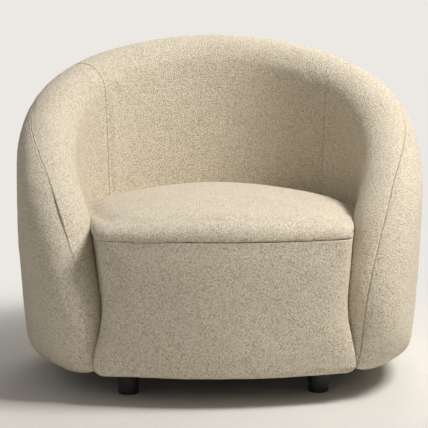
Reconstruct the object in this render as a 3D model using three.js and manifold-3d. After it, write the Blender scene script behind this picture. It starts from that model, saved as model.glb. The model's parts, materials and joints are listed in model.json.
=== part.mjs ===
// A tub chair: one padded wall sweeps from arm front to arm front round a fixed seat, on four round feet.
// Millimetres, +Z up, origin on the floor under the middle of the chair, seat opening towards -Y.
import * as THREE from 'three';
import { mergeVertices } from 'three/addons/utils/BufferGeometryUtils.js';
import Module from 'manifold-3d';

const wasm = await Module();
wasm.setup();

// Wall: the padded tub, described by the surface that runs through its middle
const chairHeight = 715;
const wallHalfWidth = 367;
const wallBackReach = 330;
const wallFrontReach = 505;
const wallThickness = 126;
const wallBottom = 46;
const armTipLift = 20;
const armTipLiftSpan = THREE.MathUtils.degToRad(12);
const wallBottomRound = 56;
const tipBottomRound = 130;
const tipShapeSpan = THREE.MathUtils.degToRad(24);
const tipSlimShare = 0.06;
const widestHeight = 400;
const armUprightTop = 160;
const armTipHeading = THREE.MathUtils.degToRad(43.5);
const sideDrawShare = 0.06;
const topDrawShare = 0.02;
const backDrawShare = 0.18;
const backLeanShare = 0.03;
const ridgePower = 1.84;

// Layers of the wall, from the outside in
const fitGap = 0.3;
const padEdgeGap = 1.2;
const coverThickness = 2;
const insideFoam = 46;
const outsideWadding = 18;
const armSeamSet = 10;
const backSeamSet = 44;
const armSeamTop = 400;
const backSeamBottom = 590;
const linerThickness = 3;

// Timber
const postThickness = 20;
const postHeadings = {
  post_arm_front: THREE.MathUtils.degToRad(-28),
  post_arm: THREE.MathUtils.degToRad(8),
  post_back: THREE.MathUtils.degToRad(56),
};
const topRailDepth = 40;
const baseRingTop = 150;
const deckHeight = 250;
const seatRailThickness = 22;
const seatRailDepth = 45;
const crossRailWidth = 90;
const crossRailDepth = 50;
const stretcherWidth = 40;
const stretcherDepth = 36;
const stretcherSetIn = 80;
const frontBoardThickness = 18;
const frontBoardSetIn = 153;

// Webbing under the seat foam
const strapThickness = 2;
const strapWidth = 50;
const longStrapCount = 4;
const outerStrapSetIn = 202;
const frontStrapPlace = -110;
const backStrapPlace = 70;

// Seat and front apron
const seatClearance = 3;
const seatFrontReach = 400;
const apronFoamDepth = 52;
const seatFrontBow = 26;
const seatCornerSetIn = 164;
const seatCornerTuck = 18;
const seatCornerTuckBelow = 36;
const seatSeamHeight = 328;
const seatEdgeRise = 34;
const seatCrown = 25;
const seatSideDip = 20;
const seatDipStart = THREE.MathUtils.degToRad(-30);
const seatMiddlePlace = -67;
const seatRoll = 40;
const apronSideReturn = 28;
const apronFootTuck = 2;
const apronWaistTuck = 16;
const apronWaistHeight = 124;
const apronBottom = 57;
const apronRound = 16;
const apronShoulder = 20;
const seamDip = 5;
const dustCoverThickness = 1.5;

// Feet
const footHeight = 56;
const footTopRadius = 23;
const footBottomRadius = 20;
const footChamfer = 2;
const footSetIn = 177;
const frontFootSetBack = 68;
const backFootPlaceY = 175;
const boltRadius = 4;
const boltInFoot = 30;
const boltAboveRail = 6;
const teeNutFlangeRadius = 11;
const teeNutFlange = 1.6;
const teeNutBarrelRadius = 5.2;
const teeNutBarrel = 9;

// Fineness of the meshes
const ridgeSteps = 60;
const bottomRowShares = [0, 0.134, 0.5, 1];
const middleRowShares = [0.25, 0.5, 0.75];
const topRowShares = [0.62, 0.3, 0.08, 0];
const tipColumnShares = [0, 0.08, 0.3, 0.62];
const noseLimitShare = 0.33;
const railLimitShare = 0.25;
const footLimitShare = 0.3;
const roundShares = [0, 0.33, 0.67, 1];
const crownRingShares = [0.7, 0.35];
const seatBowShares = [-1, -0.6, -0.2, 0.2, 0.6, 1];
const cornerSteps = 4;
const sweepColumns = 12;
const roundSides = 16;
const boltSides = 10;

const halfWall = wallThickness / 2;
const quarterTurn = Math.PI / 2;
const seatBottom = deckHeight + 2 * (strapThickness + fitGap) + fitGap;
const seatEdgeHeight = seatSeamHeight + seatEdgeRise;
const frontBoardFace = seatFrontReach - apronFoamDepth;
const frontBoardBack = frontBoardFace - frontBoardThickness;
const frontBoardHalfLength = wallHalfWidth - frontBoardSetIn;
const seatCornerPlace = wallHalfWidth - seatCornerSetIn;
const footPlaceX = wallHalfWidth - footSetIn;
const frontFootPlaceY = frontFootSetBack - frontBoardBack;
const stretcherPlace = footPlaceX - stretcherSetIn;
const longStrapPitch = 2 * (wallHalfWidth - outerStrapSetIn) / (longStrapCount - 1);

// Width and reach of the wall's middle surface at a height, with their slopes
function wallSpread(height) {
  const below = Math.max(0, (widestHeight - height) / (widestHeight - wallBottom));
  const above = Math.max(0, (height - widestHeight) / (chairHeight - widestHeight));
  const belowSlope = -2 * below / (widestHeight - wallBottom);
  const aboveSlope = 2 * above / (chairHeight - widestHeight);
  return {
    width: wallHalfWidth * (1 - sideDrawShare * below ** 2 - topDrawShare * above ** 2),
    widthSlope: -wallHalfWidth * (sideDrawShare * belowSlope + topDrawShare * aboveSlope),
    back: wallBackReach * (1 - backDrawShare * below ** 2 + backLeanShare * above ** 2),
    backSlope: -wallBackReach * (backDrawShare * belowSlope - backLeanShare * aboveSlope),
  };
}

// Point of the middle surface: heading 0 is the right side, a quarter turn is the back
function middlePoint(heading, height) {
  const spread = wallSpread(height);
  const reach = Math.sin(heading) > 0 ? spread.back : wallFrontReach;
  return new THREE.Vector3(spread.width * Math.cos(heading), reach * Math.sin(heading), height);
}

// Step of the middle surface for one radian of heading
function headingStep(heading, height) {
  const spread = wallSpread(height);
  const reach = Math.sin(heading) > 0 ? spread.back : wallFrontReach;
  return new THREE.Vector3(-spread.width * Math.sin(heading), reach * Math.cos(heading), 0);
}

function outwardNormal(heading, height) {
  const spread = wallSpread(height);
  const backSlope = Math.sin(heading) > 0 ? spread.backSlope : 0;
  const rise = new THREE.Vector3(spread.widthSlope * Math.cos(heading), backSlope * Math.sin(heading), 1);
  return headingStep(heading, height).cross(rise).normalize();
}

// Height of the wall's ridge over a heading
function ridgeHeight(heading) {
  const fromBack = Math.abs(heading - quarterTurn) / (quarterTurn + armTipHeading);
  const rise = Math.max(0, 1 - fromBack ** ridgePower) ** (1 / ridgePower);
  return armUprightTop + (chairHeight - armUprightTop) * rise;
}

function headingFromTip(heading) {
  return armTipHeading + quarterTurn - Math.abs(heading - quarterTurn);
}

// Height of the wall's lower edge, which lifts towards the arm fronts
function footHeightOfWall(heading) {
  return wallBottom + armTipLift * Math.max(0, 1 - headingFromTip(heading) / armTipLiftSpan) ** 2;
}

// How much of the arm fronts' own shape a heading has: 1 at the tip, 0 along the sides and the back
function tipShare(heading) {
  return 1 - THREE.MathUtils.smoothstep(headingFromTip(heading), 0, tipShapeSpan);
}

// The ridge as points in space, with the upright arm fronts at both ends
function ridgePoints() {
  const points = [];
  for (let step = 0; step <= ridgeSteps; step += 1) {
    const turn = quarterTurn * step / ridgeSteps;
    const fromBack = (quarterTurn + armTipHeading) * Math.cos(turn) ** (2 / ridgePower);
    const heading = quarterTurn - fromBack;
    points.push(middlePoint(heading, ridgeHeight(heading)));
  }
  points.unshift(middlePoint(-armTipHeading, footHeightOfWall(-armTipHeading)));
  const mirrored = points.slice(0, -1).reverse()
    .map((point) => new THREE.Vector3(-point.x, point.y, point.z));
  return [...points, ...mirrored];
}

const ridge = ridgePoints();

function ridgeDistance(point) {
  const line = new THREE.Line3();
  const nearest = new THREE.Vector3();
  let least = Infinity;
  for (let step = 1; step < ridge.length; step += 1) {
    line.set(ridge[step - 1], ridge[step]).closestPointToPoint(point, true, nearest);
    least = Math.min(least, nearest.distanceTo(point));
  }
  return least;
}

// Height over which the wall's lower edge is rounded
function bottomRoundOf(heading) {
  return THREE.MathUtils.lerp(wallBottomRound, tipBottomRound, tipShare(heading));
}

// Half the wall's thickness at a place, for the form that lies inset inside the whole one
function halfDepth(place, inset) {
  const fromNose = Math.min(place.fromRidge, halfWall);
  const nose = Math.sqrt(Math.max(0, (halfWall - inset) ** 2 - (halfWall - fromNose) ** 2));
  const rise = Math.min(1, Math.max(0, (place.height - place.foot - inset) / (place.round - inset)));
  return nose * (1 - tipSlimShare * place.tip) * Math.sqrt(1 - (1 - rise) ** 2);
}

// Headings of the columns of places, closer together at the arm fronts
function columnHeadings() {
  const tipRadius = headingStep(-armTipHeading, armUprightTop).length();
  const half = tipColumnShares.map((share) => -armTipHeading + share * halfWall / tipRadius);
  const start = half.at(-1);
  for (let step = 1; step <= sweepColumns; step += 1) {
    half.push(start + (quarterTurn - start) * step / sweepColumns);
  }
  const mirrored = half.slice(0, -1).reverse().map((heading) => 2 * quarterTurn - heading);
  return [...half, ...mirrored];
}

// Heights of one column's rows, closer together at the bottom and at the ridge
function rowHeights(heading) {
  const top = ridgeHeight(heading);
  const foot = footHeightOfWall(heading);
  const tall = top - foot;
  const ahead = heading + (heading < quarterTurn ? quarterTurn : -quarterTurn) / ridgeSteps;
  const run = headingStep(heading, top).length() * Math.abs(ahead - heading);
  const slant = Math.hypot(1, (ridgeHeight(ahead) - top) / run);
  const noseSpan = Math.min(halfWall * slant, noseLimitShare * tall);
  const railSpan = noseSpan * topRowShares[0] + Math.min(topRailDepth * slant, railLimitShare * tall);
  const footSpan = Math.min(bottomRoundOf(heading), footLimitShare * tall);
  const low = bottomRowShares.map((share) => foot + share * footSpan);
  const railBottom = top - railSpan;
  const middle = middleRowShares.map((share) => THREE.MathUtils.lerp(low.at(-1), railBottom, share));
  return [...low, ...middle, railBottom, ...topRowShares.map((share) => top - share * noseSpan)];
}

const wallColumns = columnHeadings();
const rowCount = rowHeights(quarterTurn).length;
const lastRow = rowCount - 1;
const lastColumn = wallColumns.length - 1;
const coreRows = [bottomRowShares.length - 2, lastRow - topRowShares.length + 1];
const coreColumns = [tipColumnShares.length - 1, lastColumn - tipColumnShares.length + 1];

const places = wallColumns.map((heading) => rowHeights(heading).map((height) => {
  const point = middlePoint(heading, height);
  const foot = footHeightOfWall(heading);
  const normal = outwardNormal(heading, height);
  const round = bottomRoundOf(heading);
  return { height, foot, round, tip: tipShare(heading), point, normal, fromRidge: ridgeDistance(point) };
}));

function inCore(column, row) {
  return column >= coreColumns[0] && column <= coreColumns[1] && row >= coreRows[0] && row <= coreRows[1];
}

// Offsets of the faces between the layers, out from the middle surface
const face = {
  outside: (place) => halfDepth(place, 0),
  coverBack: (place) => halfDepth(place, coverThickness),
  outsidePad: (place) => halfDepth(place, coverThickness + fitGap),
  outsideCore: (place) => halfDepth(place, 0) - coverThickness - outsideWadding - 2 * fitGap,
  insideCore: (place) => -halfDepth(place, 0) + coverThickness + insideFoam + 2 * fitGap,
};
const seam = (place) => Math.min(fitGap / 2, face.outsidePad(place));
const mirror = (offset) => (place) => -offset(place);
const shift = (offset, by) => (place) => offset(place) + by;
const timberOutside = shift(face.outsideCore, -linerThickness - fitGap);
const timberInside = shift(face.insideCore, linerThickness + fitGap);

// A closed body from points and faces: points that coincide become one, and empty faces go
function bodyFrom(points, faces) {
  const geometry = new THREE.BufferGeometry().setFromPoints(points);
  geometry.setIndex(faces.flat());
  const merged = mergeVertices(geometry);
  const index = Array.from(merged.index.array);
  const kept = [];
  for (let at = 0; at < index.length; at += 3) {
    const [a, b, c] = index.slice(at, at + 3);
    if (a !== b && b !== c && a !== c) kept.push(a, b, c);
  }
  const vertProperties = Float32Array.from(merged.attributes.position.array);
  return new wasm.Manifold(new wasm.Mesh({ numProp: 3, vertProperties, triVerts: Uint32Array.from(kept) }));
}

function solidOf(geometry) {
  const bare = geometry.clone();
  bare.deleteAttribute('normal');
  bare.deleteAttribute('uv');
  const merged = mergeVertices(bare);
  const vertProperties = Float32Array.from(merged.attributes.position.array);
  const triVerts = Uint32Array.from(merged.index.array);
  return new wasm.Manifold(new wasm.Mesh({ numProp: 3, vertProperties, triVerts }));
}

function splitQuad(a, b, c, d) {
  return [[a, b, c], [a, c, d]];
}

// How far a place on the edge of a layer moves along the wall when the layer's edges are let out
function edgeMove(place, column, row, columns, rows, letOut) {
  const along = new THREE.Vector3().crossVectors(new THREE.Vector3(0, 0, 1), place.normal).normalize();
  const move = new THREE.Vector3();
  if (column === columns[0]) move.addScaledVector(along, -letOut.ends);
  if (column === columns[1]) move.addScaledVector(along, letOut.ends);
  if (row === rows[0]) move.z -= letOut.foot;
  if (row === rows[1]) move.z += letOut.top;
  return move;
}

const flush = { ends: 0, foot: 0, top: 0 };

// One layer of the wall between two offsets, over a run of columns and rows
function wallLayer(outer, inner, columns = [0, lastColumn], rows = [0, lastRow], letOut = flush) {
  const points = [];
  const faces = [];
  const tall = rows[1] - rows[0] + 1;
  const at = (column, row, side) => 2 * ((column - columns[0]) * tall + row - rows[0]) + side;
  for (let column = columns[0]; column <= columns[1]; column += 1) {
    for (let row = rows[0]; row <= rows[1]; row += 1) {
      const place = places[column][row];
      const move = edgeMove(place, column, row, columns, rows, letOut);
      for (const offset of [outer, inner]) {
        const by = offset(place, column, row);
        points.push(place.point.clone().addScaledVector(place.normal, by).add(move));
      }
    }
  }
  for (let column = columns[0]; column < columns[1]; column += 1) {
    for (let row = rows[0]; row < rows[1]; row += 1) {
      const ring = [[column, row], [column + 1, row], [column + 1, row + 1], [column, row + 1]];
      faces.push(...splitQuad(...ring.map(([c, r]) => at(c, r, 0))));
      faces.push(...splitQuad(...ring.map(([c, r]) => at(c, r, 1))).map((corners) => corners.reverse()));
    }
    const [low, high] = rows;
    const next = column + 1;
    faces.push(...splitQuad(at(column, low, 0), at(column, low, 1), at(next, low, 1), at(next, low, 0)));
    faces.push(...splitQuad(at(column, high, 0), at(next, high, 0), at(next, high, 1), at(column, high, 1)));
  }
  for (let row = rows[0]; row < rows[1]; row += 1) {
    const [near, far] = columns;
    faces.push(...splitQuad(at(near, row, 0), at(near, row + 1, 0), at(near, row + 1, 1), at(near, row, 1)));
    faces.push(...splitQuad(at(far, row, 0), at(far, row, 1), at(far, row + 1, 1), at(far, row + 1, 0)));
  }
  return bodyFrom(points, faces);
}

function block(low, high) {
  const size = new THREE.Vector3().subVectors(high, low);
  const middle = new THREE.Vector3().addVectors(low, high).multiplyScalar(0.5);
  return solidOf(new THREE.BoxGeometry(size.x, size.y, size.z).translate(middle.x, middle.y, middle.z));
}

const overrun = wallThickness;
const far = 2 * (wallHalfWidth + chairHeight);
const farCorner = new THREE.Vector3(far, far, far);
const aboveHeight = (height) => block(new THREE.Vector3(-far, -far, height), farCorner);
const nearCorner = farCorner.clone().negate();
const belowHeight = (height) => block(nearCorner, new THREE.Vector3(far, far, height));
const behindPlace = (place) => block(new THREE.Vector3(-far, place, -far), farCorner);

// Seams between arms and back: upright planes that fan out from a point ahead of the back
const seamHeading = THREE.MathUtils.degToRad(38);
const seamPlace = middlePoint(seamHeading, widestHeight);
const seamFan = outwardNormal(seamHeading, widestHeight);

function backWedge(widened) {
  const side = new THREE.Vector2(seamFan.y, -seamFan.x).normalize();
  const near = new THREE.Vector2(seamPlace.x, seamPlace.y).addScaledVector(side, widened);
  const fan = new THREE.Vector2(seamFan.x, seamFan.y);
  const inner = near.clone().addScaledVector(fan, -near.x / fan.x);
  const outer = near.clone().addScaledVector(fan, far);
  const outline = [inner, outer, new THREE.Vector2(-outer.x, outer.y)];
  const wedge = new THREE.ExtrudeGeometry(new THREE.Shape(outline), { depth: far, bevelEnabled: false });
  return solidOf(wedge.translate(0, 0, -far / 2));
}

const backSector = backWedge(-fitGap / 2);
const armSectors = backWedge(fitGap / 2);
const rightHalf = block(new THREE.Vector3(0, -far, -far), new THREE.Vector3(far, far, far));

// Three pieces of a part of the wall, cut at the seams
function cutAtSeams(solid) {
  const arms = solid.subtract(armSectors);
  return {
    left: arms.subtract(rightHalf),
    back: solid.intersect(backSector),
    right: arms.intersect(rightHalf),
  };
}

// Space under the seat, inside the timber, where the inside padding stops
const underSeatColumn = coreColumns[0] + 1;
const underSeatColumns = [underSeatColumn, lastColumn - underSeatColumn];
const wellFace = (place) => Math.min(timberInside(place), 0) - fitGap;
const underSeat = wallLayer(() => armSeamSet + fitGap, () => -overrun, underSeatColumns, [0, coreRows[1]],
  { ends: fitGap, foot: overrun, top: 0 }).intersect(belowHeight(seatBottom));

function padBack(core, seamFace) {
  return (place, column, row) => (inCore(column, row) ? core(place) : seamFace(place));
}

const letOutPastEdges = { ends: overrun, foot: overrun, top: overrun };

// The wall outside the seam that follows the ridge: near it down the arm fronts, further out over the back
function outsideZone(widened) {
  const seamSet = (height) => THREE.MathUtils.lerp(
    armSeamSet,
    backSeamSet,
    THREE.MathUtils.smoothstep(height, armSeamTop, backSeamBottom),
  );
  const seamFace = (place) => widened
    + seamSet(place.height) * Math.min(1, (place.height - place.foot) / wallBottomRound);
  return wallLayer(() => overrun, seamFace, [0, lastColumn], [0, lastRow], letOutPastEdges);
}

const padColumns = [1, lastColumn - 1];
const padRows = [1, lastRow - 1];
const letInForPads = { ends: -padEdgeGap, foot: -padEdgeGap, top: -padEdgeGap };
const letInAtTop = { ends: 0, foot: 0, top: -fitGap };
const coverShell = wallLayer(face.outside, mirror(face.outside))
  .subtract(wallLayer(face.coverBack, mirror(face.coverBack), padColumns, padRows));
const outsideCover = coverShell.intersect(outsideZone(fitGap / 2));
const outsideWad = wallLayer(face.outsidePad, padBack(shift(face.outsideCore, fitGap), seam),
  padColumns, padRows, letInForPads);
const insideCover = coverShell.subtract(outsideZone(-fitGap / 2)).subtract(underSeat);
const insidePad = wallLayer(padBack(shift(face.insideCore, -fitGap), mirror(seam)), mirror(face.outsidePad),
  padColumns, padRows, letInForPads).subtract(underSeat);
const outsideLiner = wallLayer(face.outsideCore, shift(face.outsideCore, -linerThickness),
  coreColumns, coreRows);
const insideLiner = wallLayer(shift(face.insideCore, linerThickness), face.insideCore,
  coreColumns, coreRows).subtract(underSeat);

// Timber in the wall: a base ring, upright posts and a top rail under the ridge
const railRow = coreRows[1] - 1;
const railSolid = wallLayer(timberOutside, timberInside, coreColumns, [railRow, coreRows[1]]);
const postZone = wallLayer(timberOutside, timberInside, coreColumns, [coreRows[0], railRow], letInAtTop)
  .intersect(aboveHeight(baseRingTop + fitGap));
const ringSolid = wallLayer(timberOutside, timberInside, coreColumns, [coreRows[0], railRow], letInAtTop)
  .intersect(belowHeight(baseRingTop));
const seatRailZone = wallLayer(wellFace, shift(wellFace, -seatRailThickness), underSeatColumns, coreRows)
  .intersect(belowHeight(deckHeight)).intersect(aboveHeight(deckHeight - seatRailDepth));

function post(heading) {
  const point = middlePoint(heading, widestHeight);
  const normal = outwardNormal(heading, widestHeight);
  const slab = new THREE.BoxGeometry(2 * overrun, postThickness, far);
  slab.rotateZ(Math.atan2(normal.y, normal.x)).translate(point.x, point.y, 0);
  return postZone.intersect(solidOf(slab));
}

// Everything from an offset of the middle surface out past the wall, over a run of columns
function wallZone(innerFace, columns = underSeatColumns) {
  return wallLayer(() => overrun, innerFace, columns, [0, coreRows[1]], { ends: 0, foot: overrun, top: 0 });
}

// What the pieces inside the well keep clear of: timber beside them, padding at the arm fronts
const clearOfPadding = () => -halfWall - fitGap;
function armFronts(column, innerFace = clearOfPadding) {
  const right = wallZone(innerFace, [0, column]);
  return right.add(wallZone(innerFace, [lastColumn - column, lastColumn]));
}

const outsideWell = wallZone(wellFace).add(armFronts(underSeatColumn + 1));
const strapStop = wallZone(shift(wellFace, -seatRailThickness / 2)).add(armFronts(underSeatColumn));
// The arm fronts themselves, which the apron keeps clear of
const armNoses = (clearance) => armFronts(underSeatColumn + 1, shift(mirror(face.outside), -clearance));

// Half the width of the wall's middle surface at a distance from front to back
function middleHalfWidth(place, height) {
  const spread = wallSpread(height);
  const reach = place > 0 ? spread.back : wallFrontReach;
  return spread.width * Math.sqrt(1 - (place / reach) ** 2);
}

function middleBackReach(place, height) {
  const spread = wallSpread(height);
  return spread.back * Math.sqrt(1 - (place / spread.width) ** 2);
}

const railBottom = footHeight + fitGap;
const railTop = railBottom + crossRailDepth;

function boltHole(x, y) {
  const hole = new THREE.CylinderGeometry(boltRadius + fitGap, boltRadius + fitGap, far, boltSides);
  return solidOf(hole.rotateX(quarterTurn).translate(x, y, 0));
}

function barrelHole(x, y) {
  const radius = teeNutBarrelRadius + fitGap;
  const hole = new THREE.CylinderGeometry(radius, radius, teeNutBarrel + fitGap, boltSides);
  return solidOf(hole.rotateX(quarterTurn).translate(x, y, railTop - (teeNutBarrel + fitGap) / 2));
}

function crossRail(y) {
  const reach = middleHalfWidth(y, railBottom);
  const low = new THREE.Vector3(-reach, y - crossRailWidth / 2, railBottom);
  const high = new THREE.Vector3(reach, y + crossRailWidth / 2, railTop);
  const rail = block(low, high).subtract(outsideWell);
  return [-footPlaceX, footPlaceX].reduce(
    (solid, x) => solid.subtract(boltHole(x, y)).subtract(barrelHole(x, y)),
    rail,
  );
}

function stretcher(x) {
  const low = new THREE.Vector3(x - stretcherWidth / 2, fitGap - frontBoardBack, railTop + fitGap);
  const high = new THREE.Vector3(
    x + stretcherWidth / 2,
    middleBackReach(x, railTop),
    railTop + fitGap + stretcherDepth,
  );
  return block(low, high).subtract(outsideWell);
}

function longStrap(x) {
  const height = deckHeight + strapThickness + 2 * fitGap;
  const low = new THREE.Vector3(x - strapWidth / 2, -frontBoardFace + fitGap, height);
  const high = new THREE.Vector3(x + strapWidth / 2, middleBackReach(x, height), height + strapThickness);
  return block(low, high).subtract(strapStop);
}

function crossStrap(y) {
  const height = deckHeight + fitGap;
  const reach = middleHalfWidth(y, height);
  const low = new THREE.Vector3(-reach, y - strapWidth / 2, height);
  const high = new THREE.Vector3(reach, y + strapWidth / 2, height + strapThickness);
  return block(low, high).subtract(strapStop);
}

// Outline of the seat and the apron at a height: along the wall inside, round the corners, across the front
function seatOutline(height, inset, tuck) {
  const along = wallColumns.slice(underSeatColumn, lastColumn - underSeatColumn + 1).map((heading) => {
    const point = middlePoint(heading, height);
    const normal = outwardNormal(heading, height);
    const flat = new THREE.Vector2(normal.x, normal.y);
    const by = (halfWall + seatClearance + inset) / flat.length();
    return new THREE.Vector2(point.x, point.y).addScaledVector(flat.normalize(), -by);
  });
  const front = (x) => -(seatFrontReach - inset) + seatFrontBow * (x / seatCornerPlace) ** 2;
  const bow = [];
  for (const share of seatBowShares) {
    const x = share * (seatCornerPlace - inset);
    bow.push(new THREE.Vector2(x, front(x)));
  }
  const corner = (from, to) => {
    const side = Math.abs(from.y) < Math.abs(to.y) ? from : to;
    const square = new THREE.Vector2(side.x - Math.sign(side.x) * tuck, bow[0].y);
    return new THREE.QuadraticBezierCurve(from, square, to).getPoints(cornerSteps).slice(1, -1);
  };
  return [...along, ...corner(along.at(-1), bow[0]), ...bow, ...corner(bow.at(-1), along[0])];
}

// A closed body through level rings, flat below and drawn to a point above
function loft(rings, peak) {
  const points = rings.flat();
  const count = rings[0].length;
  const faces = [];
  for (let ring = 0; ring + 1 < rings.length; ring += 1) {
    for (let at = 0; at < count; at += 1) {
      const next = (at + 1) % count;
      const low = ring * count;
      faces.push(...splitQuad(low + at, low + next, low + count + next, low + count + at));
    }
  }
  const flat = rings[0].map((point) => new THREE.Vector2(point.x, point.y));
  THREE.ShapeUtils.triangulateShape(flat, []).forEach((corners) => faces.push([...corners].reverse()));
  const top = (rings.length - 1) * count;
  const peakAt = points.push(peak) - 1;
  for (let at = 0; at < count; at += 1) faces.push([top + at, top + (at + 1) % count, peakAt]);
  return bodyFrom(points, faces);
}

// How far the seat's edge dips at its sides, between the front corners and the back
function sideDip(point) {
  const turn = Math.atan2(point.y - seatMiddlePlace, Math.abs(point.x));
  const share = Math.max(0, (turn - seatDipStart) / (quarterTurn - seatDipStart));
  return seatSideDip * Math.sin(Math.PI * share) ** 2;
}

// The outline as a level ring, drawn in towards the middle of the seat and dipped at the sides
function ringAt(height, inset, tuck, spreadShare = 1, dipShare = 0) {
  const centre = new THREE.Vector2(0, seatMiddlePlace);
  return seatOutline(height, inset, tuck).map((point) => {
    const moved = point.clone().sub(centre).multiplyScalar(spreadShare).add(centre);
    return new THREE.Vector3(moved.x, moved.y, height - dipShare * sideDip(point));
  });
}

// The seat cushion: sides drawn in at the seam, a soft roll above it and a low crown
function seatForm(inset, bottom) {
  const rollFoot = seatSeamHeight + seamDip;
  const rings = [
    ringAt(bottom, inset + seamDip, seatCornerTuckBelow),
    ringAt(seatSeamHeight, inset + seamDip, seatCornerTuck),
  ];
  for (const turn of roundShares.map((share) => share * quarterTurn)) {
    const rise = (seatEdgeHeight - rollFoot) * Math.sin(turn);
    const drawn = inset + seatRoll * (1 - Math.cos(turn));
    rings.push(ringAt(rollFoot + rise - inset * Math.sin(turn), drawn, seatCornerTuck, 1, Math.sin(turn)));
  }
  for (const share of crownRingShares) {
    const height = seatEdgeHeight - inset + seatCrown * (1 - share ** 2);
    rings.push(ringAt(height, inset + seatRoll, seatCornerTuck, share, share ** 2));
  }
  return loft(rings, new THREE.Vector3(0, seatMiddlePlace, seatEdgeHeight - inset + seatCrown));
}

// The apron under the seat's front: rounded below, flared at its foot, waisted, and drawn in at the seam
function apronForm(inset, top) {
  const rings = [];
  for (const turn of roundShares.map((share) => share * quarterTurn)) {
    const rise = (apronRound - inset) * (1 - Math.cos(turn));
    const drawn = inset + (apronRound - inset) * (1 - Math.sin(turn));
    rings.push(ringAt(apronBottom + inset + rise, drawn, apronFootTuck));
  }
  rings.push(ringAt(apronWaistHeight, inset, apronWaistTuck));
  rings.push(ringAt(top - apronShoulder, inset, seatCornerTuck));
  rings.push(ringAt(top, inset + seamDip, seatCornerTuck));
  return loft(rings, new THREE.Vector3(0, seatMiddlePlace, top));
}

const skin = coverThickness + fitGap;
// Space taken by the front board, which the apron's foam wraps round at both ends
const boardSpace = block(
  new THREE.Vector3(-frontBoardHalfLength - fitGap, -frontBoardFace - fitGap, -far),
  new THREE.Vector3(frontBoardHalfLength + fitGap, far, far),
).add(behindPlace(-frontBoardFace + apronSideReturn));
const seatFoam = seatForm(skin, seatBottom);
const seatTopCover = seatForm(0, seatBottom).intersect(aboveHeight(seatSeamHeight + fitGap))
  .subtract(seatForm(coverThickness, seatBottom));
const apronFoam = apronForm(skin, seatSeamHeight).subtract(boardSpace)
  .subtract(armNoses(skin + fitGap)).intersect(belowHeight(seatBottom - fitGap));
const apronCover = apronForm(0, seatSeamHeight).subtract(apronForm(coverThickness, seatSeamHeight + fitGap))
  .subtract(boardSpace).subtract(armNoses(fitGap));

function frontBoard() {
  const low = new THREE.Vector3(-frontBoardHalfLength, -frontBoardFace, railBottom + apronRound);
  return block(low, new THREE.Vector3(frontBoardHalfLength, -frontBoardBack, deckHeight));
}

function dustCover() {
  const top = railBottom - fitGap;
  const rings = [top - dustCoverThickness, top]
    .map((height) => ringAt(height, -halfWall, seatCornerTuckBelow));
  const sheet = loft(rings, new THREE.Vector3(0, seatMiddlePlace, top)).subtract(armFronts(underSeatColumn))
    .intersect(behindPlace(-frontBoardFace + apronSideReturn + fitGap));
  return footPlaces.reduce((solid, foot) => {
    const radius = footTopRadius + fitGap;
    const hole = new THREE.CylinderGeometry(radius, radius, far, roundSides).rotateX(quarterTurn);
    return solid.subtract(solidOf(hole.translate(foot.x, foot.y, 0)));
  }, sheet);
}

// Feet: turned feet with a stud from each into a tee nut on the cross rail
const footPlaces = [
  { name: 'front_left', x: -footPlaceX, y: frontFootPlaceY },
  { name: 'front_right', x: footPlaceX, y: frontFootPlaceY },
  { name: 'back_left', x: -footPlaceX, y: backFootPlaceY },
  { name: 'back_right', x: footPlaceX, y: backFootPlaceY },
];

function lathe(profile, sides) {
  const points = profile.map(([radius, height]) => new THREE.Vector2(radius, height));
  return solidOf(new THREE.LatheGeometry(points, sides).rotateX(quarterTurn));
}

function foot() {
  const hole = boltRadius + fitGap;
  const floorOfHole = footHeight - boltInFoot - fitGap;
  return lathe([
    [0, 0],
    [footBottomRadius - footChamfer, 0],
    [footBottomRadius, footChamfer],
    [footTopRadius, footHeight - footChamfer],
    [footTopRadius - footChamfer, footHeight],
    [hole, footHeight],
    [hole, floorOfHole],
    [0, floorOfHole],
  ], roundSides);
}

function footBolt() {
  const low = footHeight - boltInFoot;
  const high = railTop + boltAboveRail;
  return lathe([[0, low], [boltRadius, low], [boltRadius, high], [0, high]], boltSides);
}

function teeNut() {
  const bore = boltRadius + fitGap;
  const low = railTop - teeNutBarrel;
  const seat = railTop + fitGap;
  const high = seat + teeNutFlange;
  return lathe([
    [bore, low],
    [teeNutBarrelRadius, low],
    [teeNutBarrelRadius, seat],
    [teeNutFlangeRadius, seat],
    [teeNutFlangeRadius, high],
    [bore, high],
    [bore, low],
  ], boltSides);
}

const materials = {
  boucle: new THREE.MeshStandardMaterial({ color: 0xe4d9c3, roughness: 0.95, metalness: 0 }),
  foam: new THREE.MeshStandardMaterial({ color: 0xe8dfb8, roughness: 0.9, metalness: 0 }),
  wadding: new THREE.MeshStandardMaterial({ color: 0xf0efea, roughness: 1, metalness: 0 }),
  board: new THREE.MeshStandardMaterial({ color: 0x9a7a55, roughness: 0.8, metalness: 0 }),
  plywood: new THREE.MeshStandardMaterial({ color: 0xc9a878, roughness: 0.7, metalness: 0 }),
  webbing: new THREE.MeshStandardMaterial({ color: 0x2b2b2e, roughness: 0.9, metalness: 0 }),
  dust: new THREE.MeshStandardMaterial({ color: 0x1b1b1c, roughness: 1, metalness: 0 }),
  foot: new THREE.MeshStandardMaterial({ color: 0x141414, roughness: 0.4, metalness: 0 }),
  steel: new THREE.MeshStandardMaterial({ color: 0xb4b6b8, roughness: 0.35, metalness: 1 }),
};

const chair = new THREE.Group();

function add(name, solid, material, at = new THREE.Vector3()) {
  const { vertProperties, triVerts } = solid.getMesh();
  const geometry = new THREE.BufferGeometry();
  geometry.setAttribute('position', new THREE.BufferAttribute(vertProperties, 3));
  geometry.setIndex(new THREE.BufferAttribute(triVerts, 1));
  geometry.computeVertexNormals();
  const mesh = new THREE.Mesh(geometry, material);
  mesh.name = name;
  mesh.position.copy(at);
  chair.add(mesh);
}

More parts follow.
